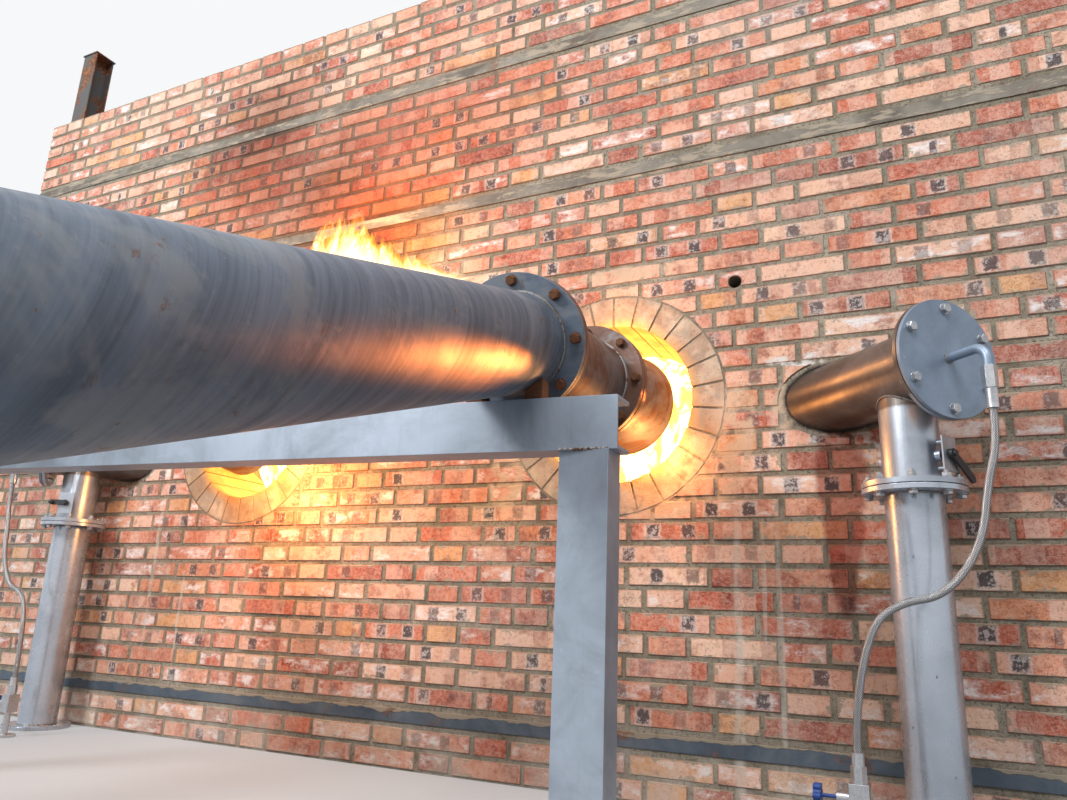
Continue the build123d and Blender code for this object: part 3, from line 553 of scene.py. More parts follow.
def makeBandSteel():
    made, shader, where = startMaterial("bandSteel", metallic=0.2, roughness=0.7)
    level = split(where)[2]
    cloud = speckle(where, 4.0, 4.5, 0.72, 0.5)
    blue = ramp(cloud, [(0.34, (0.040, 0.056, 0.078)), (0.52, (0.078, 0.104, 0.136)),
                        (0.70, (0.13, 0.155, 0.18))])
    grey = ramp(cloud, [(0.34, (0.095, 0.080, 0.064)), (0.52, (0.185, 0.165, 0.135)),
                        (0.70, (0.28, 0.255, 0.215))])
    upper = fade(level, 0.8, 1.4)
    tone = blendColor(upper, blue, grey)
    patches = fade(speckle(stretched(where, (2.2, 2.2, 9.0)), 3.0, 4.0, 0.7), 0.50, 0.58)
    topEdge = fade(plus(level, times(speckle(where, 7.0, 3.5, 0.7), 0.052)), 0.199, 0.203)
    cement = larger(times(patches, upper), times(topEdge, minus(1.0, upper)))
    tone = blendColor(times(cement, 0.85), tone, (0.33, 0.275, 0.205))
    tone = rusted(tone, where, 9.0, 0.36, 0.7)
    grain = useGroup(fineGrain, where, Scale=80.0)
    height = plus(times(grain["Height"], 0.5), cement)
    feed(shader, Base_Color=tone, Normal=bumpOf(height, 0.5, 0.0025))
    return made


def makePlain(name, base, roughness, metallic=0.0, change=0.25):
    made, shader, where = startMaterial(name, metallic=metallic, roughness=roughness)
    grain = useGroup(fineGrain, where, Scale=60.0)
    stops = [(0.35, shaded(base, 1 - change)), (0.65, shaded(base, 1 + change))]
    feed(shader, Base_Color=ramp(grain["Shade"], stops), Normal=bumpOf(grain["Height"], 0.25, 0.0008))
    return made


def makeBraid():
    made, shader, _ = startMaterial("hoseBraid", metallic=0.95, roughness=0.30)
    parts = split(addNode("UVMap", uv_map="alongHose").outputs[0])
    turns, along = times(parts[0], 12.0), times(parts[1], 175.0)
    one = calc("FRACT", plus(turns, along))
    two = calc("FRACT", plus(minus(turns, along), 40.0))
    rightStrand = calc("FLOOR", plus(turns, along))
    leftStrand = calc("FLOOR", plus(minus(turns, along), 40.0))
    crossing = calc("FRACT", times(plus(rightStrand, leftStrand), 0.5))
    over = calc("GREATER_THAN", crossing, 0.25)
    dome1 = calc("SINE", times(one, pi))
    dome2 = calc("SINE", times(two, pi))
    height = addNode("Mix", {0: over, 2: dome1, 3: dome2}, data_type="FLOAT").outputs[0]
    strand = addNode("Mix", {0: over, 2: one, 3: two}, data_type="FLOAT").outputs[0]
    wires = calc("SINE", times(strand, 2 * pi * 5))
    relief = plus(height, times(wires, 0.10))
    # painted shade: the colour follows the relief, near black in the valleys between strands and lighter on their
    # crowns
    tone = ramp(height, [(0.05, (0.020, 0.019, 0.019)), (0.45, (0.17, 0.17, 0.175)),
                         (0.95, (0.44, 0.44, 0.45))])
    feed(shader, Base_Color=tone, Normal=bumpOf(relief, 0.9, 0.0009))
    return made


def makeFlame(name, low, high, strength, soft=False):
    made, shader, where = startMaterial(name, roughness=1.0)
    feed(shader, Base_Color=(0.02, 0.005, 0.0), Emission_Strength=strength)
    licks = speckle(stretched(where, (16.0, 16.0, 6.0)), 1.0, 3.0, 0.6, 1.6)
    glow = stained(low, licks, 0.36, 0.60, high)
    if soft:
        parts = split(addNode("UVMap", uv_map="alongFlame").outputs[0])
        up = plus(parts[1], times(minus(licks, 0.5), 0.9))
        ends = times(fade(parts[0], 0.0, 0.16), fade(parts[0], 1.0, 0.72))
        glow = stained(high, up, 0.62, 0.88, low)
        feed(shader, Alpha=times(times(fade(up, 1.0, 0.55), fade(up, -0.1, 0.25)), ends))
    feed(shader, Emission_Color=glow)
    made.cycles.emission_sampling = "NONE"
    return made


def makeLever():
    # black lever with a worn brown knob on its end
    made, shader, where = startMaterial("leverSteel", metallic=0.3, roughness=0.5)
    grain = useGroup(fineGrain, where, Scale=60.0)
    tone = ramp(grain["Shade"], [(0.35, (0.020, 0.021, 0.023)), (0.65, (0.042, 0.044, 0.048))])
    knob = fade(softSpot(where, (-1.606, -1.675, 0.865), (0.026, 0.024, 0.026)), 0.05, 0.20)
    brown = ramp(grain["Shade"], [(0.35, (0.085, 0.024, 0.016)), (0.65, (0.17, 0.050, 0.032))])
    feed(shader, Base_Color=blendColor(knob, tone, brown), Normal=bumpOf(grain["Height"], 0.25, 0.0008))
    return made


looks = {
    "mortar": makeMortar(),
    "brick": makeBrick(),
    "stoneRight": makeFireBrick("portStoneRight", (0.46, 0.335, 0.248), (0.25, 0.165, 0.115), ports["right"]),
    "stoneLeft": makeFireBrick("portStoneLeft", (0.47, 0.345, 0.235), (0.26, 0.175, 0.110), ports["left"]),
    "stonePlain": makeFireBrick("outletStone", (0.47, 0.395, 0.29), (0.31, 0.24, 0.17)),
    "screed": makeRoofScreed(),
    "lining": makeLining(),
    "airSteel": makePipeSteel("airPipeSteel", (radians(-71.8), 0, radians(-6))),
    "burnerSteel": makePipeSteel("burnerSteel", (radians(-88.2), 0, 0), (0.150, 0.075, 0.052)),
    "riserSteel": makeSilver("riserSteel", (0.45, 0.495, 0.56)),
    "sideSteelRight": makeSideSteel("sideSteelRight", (0.43, 0.47, 0.53), 1.020, (1.44, -1.50, 1.12)),
    "sideSteelLeft": makeSideSteel("sideSteelLeft", (0.43, 0.47, 0.53), 0.986, (-1.42, -1.50, 1.086)),
    "plateSteel": makePaint("blindPlate", (0.235, 0.300, 0.390), roughness=0.42, metallic=0.40, rustShare=0.22),
    "standPaint": makePaint("standPaint", (0.36, 0.415, 0.49), roughness=0.36, metallic=0.40, rustShare=0.24,
                            dirt=0.15),
    "band": makeBandSteel(),
    "postRust": makeRusty("postRust", 0.50, (0.085, 0.085, 0.085), 7.0, 0.75),
    "boltRust": makeRusty("boltRust", 0.62, (0.09, 0.06, 0.05), 60.0),
    "boltBright": makePlain("boltBright", (0.40, 0.41, 0.43), 0.34, 0.8),
    "weld": makePaint("weldBead", (0.22, 0.215, 0.21), roughness=0.5, metallic=0.6, rustShare=0.42,
                      rustScale=60.0),
    "sheet": makePlain("jointSheet", (0.035, 0.033, 0.032), 0.85),
    "fitting": makePlain("fittingSteel", (0.52, 0.53, 0.55), 0.28, 0.9, 0.15),
    "leverSteel": makeLever(),
    "wheelBlue": makePlain("wheelBlue", (0.012, 0.065, 0.30), 0.38, 0.0, 0.3),
    "braid": makeBraid(),
    "fire": makeFlame("portFlame", (1.0, 0.38, 0.04), (1.0, 0.74, 0.28), 7.0),
    "tongue": makeFlame("flameTongue", (1.0, 0.32, 0.025), (1.0, 0.86, 0.44), 2.6, True),
}
print("materials made:", len(looks))


# shaping helpers
def pointAlong(axis):
    return Vector(axis).to_track_quat("Z", "Y").to_matrix().to_4x4()


def finishPiece(bm, name, look, body="furnace", bevel=None, segments=2, smooth=35, replaces=(), slot=None,
                merge=True):
    if merge:
        bmesh.ops.remove_doubles(bm, verts=bm.verts, dist=1e-6)
    mesh = asMesh(name, bm)
    mesh.shade_smooth()
    mesh.set_sharp_from_angle(angle=radians(smooth))
    mesh.materials.append(looks[look])
    piece = addObject(name, mesh)
    if bevel:
        soft = piece.modifiers.new("softEdges", "BEVEL")
        soft.width, soft.segments, soft.limit_method, soft.angle_limit = bevel, segments, "ANGLE", radians(40)
        soft.use_clamp_overlap, soft.harden_normals = True, True
    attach(piece, body)
    if replaces:
        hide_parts(*replaces)
    return piece


def turnedShape(bm, profile, origin, axis, steps=96):
    fresh = bmesh.new()
    verts = [fresh.verts.new((radius, 0, along)) for radius, along in profile]
    edges = [fresh.edges.new(pair) for pair in zip(verts, verts[1:])]
    edges.append(fresh.edges.new((verts[-1], verts[0])))
    bmesh.ops.spin(fresh, geom=verts + edges, axis=(0, 0, 1), cent=(0, 0, 0), angle=2 * pi, steps=steps,
                   use_merge=True)
    bmesh.ops.remove_doubles(fresh, verts=fresh.verts, dist=1e-6)
    bmesh.ops.recalc_face_normals(fresh, faces=fresh.faces)
    fresh.transform(Matrix.Translation(origin) @ pointAlong(axis))
    joinInto(bm, fresh)


def joinInto(bm, fresh):
    scratch = asMesh("scratch", fresh)
    bm.from_mesh(scratch)
    bpy.data.meshes.remove(scratch)


def softened(node, name, look, bevel, slot, body="furnace", change=None, segments=2, smooth=35):
    bm = bmesh.new()
    bm.from_mesh(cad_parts[node].data)
    bmesh.ops.remove_doubles(bm, verts=bm.verts, dist=1e-5)
    bmesh.ops.dissolve_limit(bm, angle_limit=radians(0.5), verts=bm.verts, edges=bm.edges)
    if change:
        change(bm)
    return finishPiece(bm, name, look, body, bevel, segments, smooth, (node,), slot, merge=False)


def dress(node, look):
    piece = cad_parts[node]
    piece.data.materials.clear()
    piece.data.materials.append(looks[look])


# gas hoses with their fittings, valves and handwheels
hose = {"radius": 0.0085, "sides": 28,
        "route": [(0.17536, 0.17536, 0.972), (0.17536, 0.17536, 0.893), (0.151, 0.177, 0.812), (0.127, 0.181, 0.671),
                  (0.050, 0.187, 0.564), (-0.043, 0.199, 0.547), (-0.106, 0.209, 0.496), (-0.146, 0.219, 0.318),
                  (-0.146, 0.219, 0.237)]}


def hoseLine(points):
    line = bpy.data.curves.new("hoseRoute", "CURVE")
    line.dimensions, line.resolution_u = "3D", 48
    spline = line.splines.new("NURBS")
    spline.points.add(len(points) - 1)
    for spot, point in zip(spline.points, points):
        spot.co = (*point, 1)
    spline.order_u, spline.use_endpoint_u = 3, True
    holder = addObject("hoseRoute", line)
    mesh = takeMesh(holder)
    path = [v.co.copy() for v in mesh.vertices]
    bpy.data.objects.remove(holder)
    bpy.data.meshes.remove(mesh)
    return path


def makeHose(side):
    x, y, drop = risers[side]
    points = [(x - inward[side] * outward, y - forward, z + drop) for outward, forward, z in hose["route"]]
    path = hoseLine(points)
    bm = bmesh.new()
    uvLayer = bm.loops.layers.uv.new("alongHose")
    ring = bmesh.ops.create_circle(bm, segments=hose["sides"], radius=hose["radius"], cap_ends=False)["verts"]
    ahead = (path[1] - path[0]).normalized()
    turn = ahead.to_track_quat("Z", "Y")
    for vert in ring:
        vert.co = path[0] + turn @ vert.co
    length, spots = 0.0, {v: (i, 0.0) for i, v in enumerate(ring)}
    loop = list(bm.edges)
    for before, here in zip(path, path[1:]):
        step = here - before
        length += step.length
        made = bmesh.ops.extrude_edge_only(bm, edges=loop)["geom"]
        fresh = [g for g in made if isinstance(g, bmesh.types.BMVert)]
        loop = [g for g in made if isinstance(g, bmesh.types.BMEdge) and all(v in fresh for v in g.verts)]
        swing = ahead.rotation_difference(step.normalized())
        ahead = step.normalized()
        for vert in fresh:
            vert.co = here + swing @ (vert.co - before)
            source = next(e.other_vert(vert) for e in vert.link_edges if e.other_vert(vert) not in fresh)
            spots[vert] = (spots[source][0], length)
    for face in bm.faces:
        around = [spots[l.vert][0] for l in face.loops]
        wraps = max(around) - min(around) > 1
        for l, place in zip(face.loops, around):
            u = (place + hose["sides"] if wraps and place == 0 else place) / hose["sides"]
            l[uvLayer].uv = (u, spots[l.vert][1])
    bmesh.ops.recalc_face_normals(bm, faces=bm.faces)
    piece = finishPiece(bm, "gasHose_" + side, "braid", slot="braid", merge=False, smooth=60,
                        replaces=("hose_" + side,))
    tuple(points[0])
    [tuple(p) for p in path[::4] + path[-1:]]
    print("hose", side, "length", round(length, 4))


for side in risers:
    makeHose(side)
    for node, name, bevel in (("hose_union_", "hoseUnion_", 0.0012), ("hose_tail_", "hoseTail_", 0.0012),
                              ("gas_valve_", "gasValve_", 0.0015)):
        softened(node + side, name + side, "fitting", bevel, slot="fitting_steel")
    softened("valve_wheel_" + side, "valveWheel_" + side, "wheelBlue", 0.0025, body="valve_wheel_" + side,
             slot="blue_plastic", segments=3)
print("hoses and valves done")


# brickwork: every brick is its own block, a little proud of the mortar
brick = {"length": 0.240, "width": 0.115, "height": 0.053, "joint": 0.012, "course": 0.065, "proud": 0.0040,
         "jitter": 0.0026, "bevel": 0.0026, "swapShare": 0.12, "hidden": 0.05, "bondShift": 0.1895,
         "markedLong": 0.62, "markedShort": 0.10}
bandCourses = (2, 30, 39)


def courseJoints(start, end, phase, chance):
    # header and stretcher by turns, now and then swapped; the phase sets where the headers stand
    length, width, joint = brick["length"], brick["width"], brick["joint"]
    period = length + width + 2 * joint
    spot = start - period + (phase - start) % period
    laid = []
    while spot < end:
        pair = (length, width) if chance.random() < brick["swapShare"] else (width, length)
        for size in pair:
            laid.append([spot, spot + size + chance.uniform(-0.003, 0.003)])
            spot += size + joint
    laid = [[max(a, start), min(b, end)] for a, b in laid if b > start + 0.01 and a < end - 0.01]
    laid[0][0], laid[-1][1] = start, end
    for first, second in ((0, 1), (-1, -2)):
        if laid[first][1] - laid[first][0] < 0.05 and len(laid) > 2:
            low, high = min(laid[first][0], laid[second][0]), max(laid[first][1], laid[second][1])
            laid[second][:] = [low, high]
            del laid[first]
            if high - low > length:
                middle = (low + high) / 2
                place = 0 if first == 0 else len(laid) - 1
                laid[place:place + 1] = [[low, middle - joint / 2], [middle + joint / 2, high]]
    return laid


def layWall(side, holes, corner, seed):
    # side: outward direction; corner: True where the wall owns the corner bricks
    chance = random.Random(seed)
    outward = Vector(side)
    along = outward.cross(Vector((0, 0, 1)))
    reach = halfLength if abs(outward.y) > 0.5 else abs(front)
    depth = abs(front) if abs(outward.y) > 0.5 else halfLength
    origin = outward * depth - along * reach
    place = Matrix((along, outward, Vector((0, 0, 1)))).transposed().to_4x4()
    place.translation = origin
    length, proud, joint = 2 * reach, brick["proud"], brick["joint"]
    stretcher, header = brick["length"], brick["width"]
    plain, cut, facts, drift = bmesh.new(), bmesh.new(), [], 0.0
    layers = {bm: bm.faces.layers.int.new("brickId") for bm in (plain, cut)}
    courses = round(wallTop / brick["course"])
    for course in range(courses):
        if course in bandCourses:
            continue
        low = course * brick["course"] + joint / 2
        high = low + brick["height"]
        top = course == courses - 1
        first, second = (header, stretcher) if top or course % 2 else (stretcher, header)
        if top:
            high = wallTop + proud
        if corner:
            ends = [(-proud, first - proud), (length + proud - first, length + proud)]
            inner = (first - proud + joint, length + proud - first - joint)
        else:
            ends, inner = [], (second - proud + joint, length + proud - second - joint)
        if top:
            count = round((inner[1] - inner[0] + joint) / (header + joint))
            pitch = (inner[1] - inner[0] + joint) / count
            middle = [(inner[0] + i * pitch, inner[0] + (i + 1) * pitch - joint) for i in range(count)]
        else:
            drift += chance.uniform(-0.012, 0.012)
            middle = courseJoints(inner[0], inner[1], drift + (course % 2) * brick["bondShift"], chance)
        rows = [(a, b, True) for a, b in ends] + [(a, b, False) for a, b in middle]
        for start, end, isCorner in rows:
            out = proud - chance.random() * brick["jitter"] if not isCorner else proud
            back = -(brick["hidden"] if not (isCorner or top) else (stretcher if top else second) - proud)
            # 0: clear of every hole, 1: cut by one, 2: left out inside one
            wasNear = 0
            for s, z, r in holes:
                nearS, nearZ = max(start, min(s, end)), max(low, min(z, high))
                farthest = max(sqrt((a - s) ** 2 + (b - z) ** 2) for a in (start, end) for b in (low, high))
                if farthest < r:
                    wasNear = 2
                    break
                if sqrt((nearS - s) ** 2 + (nearZ - z) ** 2) < r + 0.01:
                    wasNear = 1
            if wasNear == 2:
                continue
            bm = cut if wasNear else plain
            shift = 0 if isCorner else chance.uniform(-0.0016, 0.0016)
            middlePoint = Vector(((start + end) / 2, (out + back) / 2, (low + high) / 2 + shift))
            size = Vector((end - start, out - back, high - low))
            tilt = Matrix.Rotation(radians(0 if isCorner else chance.uniform(-0.35, 0.35)), 4, "Y")
            block = Matrix.Translation(middlePoint) @ tilt @ Matrix.Diagonal(size).to_4x4()
            made = bmesh.ops.create_cube(bm, size=1.0, matrix=block)
            for face in {f for v in made["verts"] for f in v.link_faces}:
                face[layers[bm]] = len(facts)
            often = brick["markedLong" if end - start > 0.2 else "markedShort"] * (1 if low < 1.9 else 0.6)
            marked = 0.9 if chance.random() < often else 0.1
            facts.append((middlePoint, size / 2, (chance.random(), marked, chance.random())))
    for bm in (plain, cut):
        bmesh.ops.bevel(bm, geom=bm.edges[:], offset=brick["bevel"], segments=1, profile=0.5, affect="EDGES",
                        material=-1)
        uvLayer = bm.loops.layers.uv.new("brickFace")
        lookLayer = bm.loops.layers.float_color.new("brickLook")
        bm.normal_update()
        for face in bm.faces:
            centre, half, look = facts[face[layers[bm]]]
            flat = face.normal
            for loop in face.loops:
                offset = loop.vert.co - centre
                if abs(flat.z) > 0.8:
                    u, v, across = offset.x, max(-0.02, min(0.02, offset.y * 0.2)), half.x
                elif abs(flat.x) > 0.8:
                    u, v, across = offset.y, offset.z, half.y
                else:
                    u, v, across = offset.x, offset.z, half.x
                loop[uvLayer].uv = (u, v)
                loop[lookLayer] = (*look, across)
        bm.transform(place)
    return plain, cut


def carve(bm, cutters):
    # cutters: (point, axis, radius, reach) cylinders taken out of the bricks
    block = addObject("carved", asMesh("carved", bm))
    tools = []
    for point, axis, radius, reach in cutters:
        shape = bmesh.new()
        bmesh.ops.create_cone(shape, cap_ends=True, segments=96, radius1=radius, radius2=radius, depth=2 * reach,
                              matrix=Matrix.Translation(point) @ pointAlong(axis))
        tool = addObject("tool", asMesh("tool", shape))
        tools.append(tool)
        step = block.modifiers.new("cut", "BOOLEAN")
        step.operation, step.solver, step.object = "DIFFERENCE", "EXACT", tool
    result = takeMesh(block)
    done = bmesh.new()
    done.from_mesh(result)
    for thing in [block, *tools]:
        data = thing.data
        bpy.data.objects.remove(thing)
        bpy.data.meshes.remove(data)
    bpy.data.meshes.remove(result)
    return done


portCut, sideCut, sightCut, outletCut, cutReach = 0.365, 0.117, 0.022, 0.457, 0.4
sideHeight, sideReach = 1.120, 0.165
sightX, sightZ, outletZ, outletInner = 1.170, 1.516, 1.400, 0.3505


def frontCutters():
    made = [((x, front, z), (0, 1, 0), portCut, cutReach) for x, z in ports.values()]
    for side, (x, y, drop) in risers.items():
        way = Vector((inward[side], 1, 0)).normalized()
        made.append((Vector((x, y, sideHeight + drop)), way, sideCut, 0.9))
        made.append(((-inward[side] * sightX, front, sightZ), (0, 1, 0), sightCut, cutReach))
    return made


def frontHoles():
    # as places along the wall, which runs from right to left
    made = [(halfLength - x, z, portCut) for x, z in ports.values()]
    for side, (x, y, drop) in risers.items():
        made.append((halfLength - x - inward[side] * (front - y), sideHeight + drop, sideReach))
        made.append((halfLength + inward[side] * sightX, sightZ, sightCut))
    return made


plain, cut = layWall((0, -1, 0), frontHoles(), True, 11)
joinInto(plain, carve(cut, frontCutters()))
finishPiece(plain, "frontBricks", "brick", slot="red_brick", merge=False)
plain, cut = layWall((0, 1, 0), [(halfLength, outletZ, outletCut)], True, 23)
joinInto(plain, carve(cut, [((0, -front, outletZ), (0, 1, 0), outletCut, cutReach)]))
finishPiece(plain, "rearBricks", "brick", slot="red_brick", merge=False)
for wall, side, seed in (("leftBricks", (-1, 0, 0), 31), ("rightBricks", (1, 0, 0), 47)):
    plain, cut = layWall(side, [], False, seed)
    cut.free()
    finishPiece(plain, wall, "brick", slot="red_brick", merge=False)
for node in ("front_wall", "rear_wall", "left_wall", "right_wall"):
    dress(node, "mortar")
print("bricks laid")


# round ports: wedge stones with mortar between them
portRing = {"inner": 0.2585, "outer": 0.3655, "step": 0.003, "depth": 0.350, "bevel": 0.003}


def pushOut(level, step):
    # stones stand a little proud of the wall whose face is at this level
    def push(bm):
        for vert in bm.verts:
            if abs(vert.co.y - level) < 1e-4:
                vert.co.y += step
    return push


pushFront, pushRear = pushOut(front, -portRing["step"]), pushOut(-front, portRing["step"])
for node, name, look, change in (("port_ring_right", "portStonesRight", "stoneRight", pushFront),
                                 ("port_ring_left", "portStonesLeft", "stoneLeft", pushFront),
                                 ("outlet_ring", "outletStones", "stonePlain", pushRear)):
    softened(node, name, look, portRing["bevel"], slot="firebrick", change=change)
for name, (x, z), y, way, inner, outer in (
        ("portMortarRight", ports["right"], front, 1, portRing["inner"], portRing["outer"]),
        ("portMortarLeft", ports["left"], front, 1, portRing["inner"], portRing["outer"]),
        ("outletMortar", (0, outletZ), -front, -1, outletInner, outletCut)):
    bm = bmesh.new()
    turnedShape(bm, [(inner + 0.002, 0.001), (outer, -0.0012), (outer, 0.05), (inner + 0.002, portRing["depth"])],
                (x, y, z), (0, way, 0), 96)
    finishPiece(bm, name, "mortar", slot="firebrick")
for node in ("front_lining", "rear_lining", "end_linings", "crown_arch", "hearth"):
    dress(node, "lining")
dress("roof_cover", "screed")
softened("tie_bands", "steelBands", "band", 0.0012, slot="rusty_steel")
softened("roof_posts", "roofPosts", "postRust", 0.002, slot="rusty_steel")
print("ports, bands and posts done")


# main burners
airPipe = {"radius": 0.1225, "thick": 0.020, "length": 1.600, "rise": 18.2, "swing": 6.0,
           "jointX": 0.791, "jointY": 0.700, "jointZ": 1.128, "gasket": 0.003, "boltCircle": 0.150, "bolts": 8,
           "boltAcross": 0.022, "nozzleY": 0.265, "mouthX": 0.8045, "mouthInside": 0.025, "mouthZ": 1.1554,
           "chamfer": 0.0015}
run = cos(radians(airPipe["rise"]))
airWay = Vector((-sin(radians(airPipe["swing"])) * run, cos(radians(airPipe["swing"])) * run,
                 sin(radians(airPipe["rise"]))))


def flangeBolts(bm, point, axis, circle, count, thick, across, start=0.0, head=0.012, nut=0.015, stub=0.007,
                joint=0.003, washer=0.0025):
    # hexagon head and washer on one side, washer and nut with its thread end on the other
    frameTurn = Matrix.Translation(point) @ pointAlong(axis)
    for i in range(count):
        angle = start + 2 * pi * i / count
        foot = Vector((circle * cos(angle), circle * sin(angle), 0))
        spin = Matrix.Rotation(angle * 2.7, 4, "Z")
        radius = across / 2 / cos(pi / 6)
        for level, tall, sides, size in ((-thick - joint / 2 - head / 2 - washer, head, 6, radius),
                                         (-thick - joint / 2 - washer / 2, washer, 20, radius * 1.12),
                                         (thick + joint / 2 + washer / 2, washer, 20, radius * 1.12),
                                         (thick + joint / 2 + washer + nut / 2, nut, 6, radius),
                                         (thick + joint / 2 + washer + nut + stub / 2, stub, 14, radius * 0.52)):
            fresh = bmesh.new()
            bmesh.ops.create_cone(fresh, cap_ends=True, segments=sides, radius1=size, radius2=size, depth=tall)
            rims = [e for e in fresh.edges if abs(e.verts[0].co.z - e.verts[1].co.z) < 1e-6]
            bmesh.ops.bevel(fresh, geom=rims, offset=tall * 0.12, segments=1, profile=0.5, affect="EDGES",
                            material=-1)
            fresh.transform(frameTurn @ Matrix.Translation(foot + Vector((0, 0, level))) @ spin)
            joinInto(bm, fresh)


def weldRing(bm, point, axis, radius, along, size=0.0045, steps=72):
    profile = [(radius + size * cos(a), along + size * sin(a)) for a in (2 * pi * k / 8 for k in range(8))]
    turnedShape(bm, profile, point, axis, steps)


mainBolts, mainWelds = bmesh.new(), bmesh.new()
for side, hand in (("right", 1), ("left", -1)):
    p = airPipe
    inletY = front - p["jointY"] - (1 - hand) * p["jointX"] * tan(radians(p["swing"]))
    inlet = Vector((hand * p["jointX"], inletY, p["jointZ"]))
    mouth = Vector((hand * p["mouthX"], front + p["mouthInside"], p["mouthZ"]))
    burnerWay = (mouth - inlet).normalized()
    joint = mouth - burnerWay * (p["nozzleY"] + p["mouthInside"]) / burnerWay.y
    for node, name, look in (("air_pipe_", "airPipe_", "airSteel"), ("spool_", "spoolPipe_", "burnerSteel"),
                             ("nozzle_", "nozzleCone_", "burnerSteel")):
        softened(node + side, name + side, look, p["chamfer"], slot="grey_steel", smooth=30)
    for point, way in ((inlet, airWay), (joint, burnerWay)):
        flangeBolts(mainBolts, point, way, p["boltCircle"], p["bolts"], p["thick"], p["boltAcross"])
    seat, back = inlet - airWay * (p["gasket"] / 2), p["gasket"] / 2 + p["thick"]
    for point, way, along in (
            (seat, -airWay, p["thick"] + 0.001), (seat, -airWay, p["length"] - p["thick"] - 0.001),
            (inlet + airWay * back, burnerWay, 0.003), (joint - burnerWay * back, -burnerWay, 0.001),
            (joint + burnerWay * back, burnerWay, 0.001)):
        weldRing(mainWelds, point, way, p["radius"] + 0.0005, along)
finishPiece(mainBolts, "mainFlangeBolts", "boltRust", slot="rusty_steel")
finishPiece(mainWelds, "mainWelds", "weld", slot="grey_steel")
dress("gaskets", "sheet")
print("main burners done")


# stand under the air pipes
stand = {"bevel": 0.0012, "faceY": -2.3931, "weldStart": 0.944, "weldEnd": 1.054, "weldZ": 0.838,
         "weldRadius": 0.0045}
softened("stand_beam", "standBeam", "standPaint", stand["bevel"], slot="silver_paint")
softened("stand_posts", "standPosts", "standPaint", stand["bevel"], slot="silver_paint")
softened("pipe_chocks", "pipeChocks", "boltRust", 0.002, slot="rusty_steel")


def weldLine(bm, start, end, size, beads):
    # a row of overlapping beads between two points
    way = end - start
    steps = beads * 4
    rows = []
    for k in range(steps + 1):
        here = start + way * (k / steps)
        swell = size * (0.82 + 0.18 * cos(2 * pi * k / 4))
        rows.append([bm.verts.new(here + Vector((0, swell * cos(pi * j / 4), swell * sin(pi * j / 4))))
                     for j in range(8)])
    for first, second in zip(rows, rows[1:]):
        for j in range(8):
            bm.faces.new((first[j], first[(j + 1) % 8], second[(j + 1) % 8], second[j]))
    bm.faces.new(rows[0][::-1])
    bm.faces.new(rows[-1])


standWelds = bmesh.new()
for hand in (1, -1):
    ends = []
    for along in sorted((hand * stand["weldStart"], hand * stand["weldEnd"])):
        ends.append(Vector((along, stand["faceY"] + along * tan(radians(airPipe["swing"])), stand["weldZ"])))
    weldLine(standWelds, ends[0], ends[1], stand["weldRadius"], 9)
bmesh.ops.recalc_face_normals(standWelds, faces=standWelds.faces)
finishPiece(standWelds, "standWelds", "weld", slot="silver_paint")
print("stand done")


# side burners: risers, tees, blind plates
sideBurner = {"riser": 0.0685, "thick": 0.013, "circle": 0.103, "bolts": 8, "across": 0.019,
              "jointZ": 0.824, "pipe": 0.097, "pipeFront": 0.132, "blindThick": 0.010,
              "blindCircle": 0.125, "blindBolts": 6, "blindTurn": 30, "blindAcross": 0.021, "sheet": 0.002}
brightBolts, sideWelds = bmesh.new(), bmesh.new()
for side, (x, y, drop) in risers.items():
    p = sideBurner
    way = Vector((inward[side], 1, 0)).normalized()
    tee = Vector((x, y, sideHeight + drop))
    jointZ = p["jointZ"] + drop
    for node, name, look, bevel, slot in (
            ("riser_", "riserPipe_", "riserSteel", 0.0012, "bright_steel"),
            ("side_burner_", "sideBurner_", "sideSteel" + side.capitalize(), 0.0012, "bright_steel"),
            ("blind_flange_", "blindPlate_", "plateSteel", 0.0015, "blue_grey_steel")):
        softened(node + side, name + side, look, bevel, slot=slot, smooth=30)
    flangeBolts(brightBolts, (x, y, jointZ), (0, 0, 1), p["circle"], p["bolts"], p["thick"], p["across"],
                head=0.009, nut=0.011, stub=0.006, joint=p["sheet"])
    flangeBolts(brightBolts, tee - way * p["pipeFront"], way, p["blindCircle"], p["blindBolts"], p["blindThick"],
                p["blindAcross"], start=radians(p["blindTurn"]), head=0.009, nut=0.011, stub=0.005, joint=p["sheet"])
    for z, up in ((jointZ - 0.001 - p["thick"], -1), (jointZ + 0.001 + p["thick"], 1), (p["thick"], 1)):
        weldRing(sideWelds, (x, y, z), (0, 0, up), p["riser"], 0.001, 0.003)
    weldRing(sideWelds, tee - way * (p["pipeFront"] - p["blindThick"] - 0.001), way, p["pipe"], 0.001, 0.0035)
    plateFace = tee - way * (p["pipeFront"] + 0.001 + p["blindThick"])
    weldRing(sideWelds, plateFace, -way, 0.011, 0.0008, 0.0028, 32)
    # saddle seam where the branch meets the slanting pipe
    line = bpy.data.curves.new("saddle", "CURVE")
    line.dimensions, line.bevel_depth, line.bevel_resolution = "3D", 0.0032, 2
    spline = line.splines.new("POLY")
    spline.points.add(63)
    for k, point in enumerate(spline.points):
        a = 2 * pi * k / 64
        px, py = (p["riser"] + 0.0005) * cos(a), (p["riser"] + 0.0005) * sin(a)
        off = px * way.y - py * way.x
        point.co = (x + px, y + py, tee.z - sqrt(p["pipe"] ** 2 - off ** 2) - 0.0005, 1)
    spline.use_cyclic_u = True
    holder = addObject("saddle", line)
    sideWelds.from_mesh(takeMesh(holder))
    bpy.data.objects.remove(holder)
finishPiece(brightBolts, "brightBolts", "boltBright", slot="fitting_steel")
finishPiece(sideWelds, "sideWelds", "weld", slot="grey_steel")
dress("joint_sheets", "sheet")
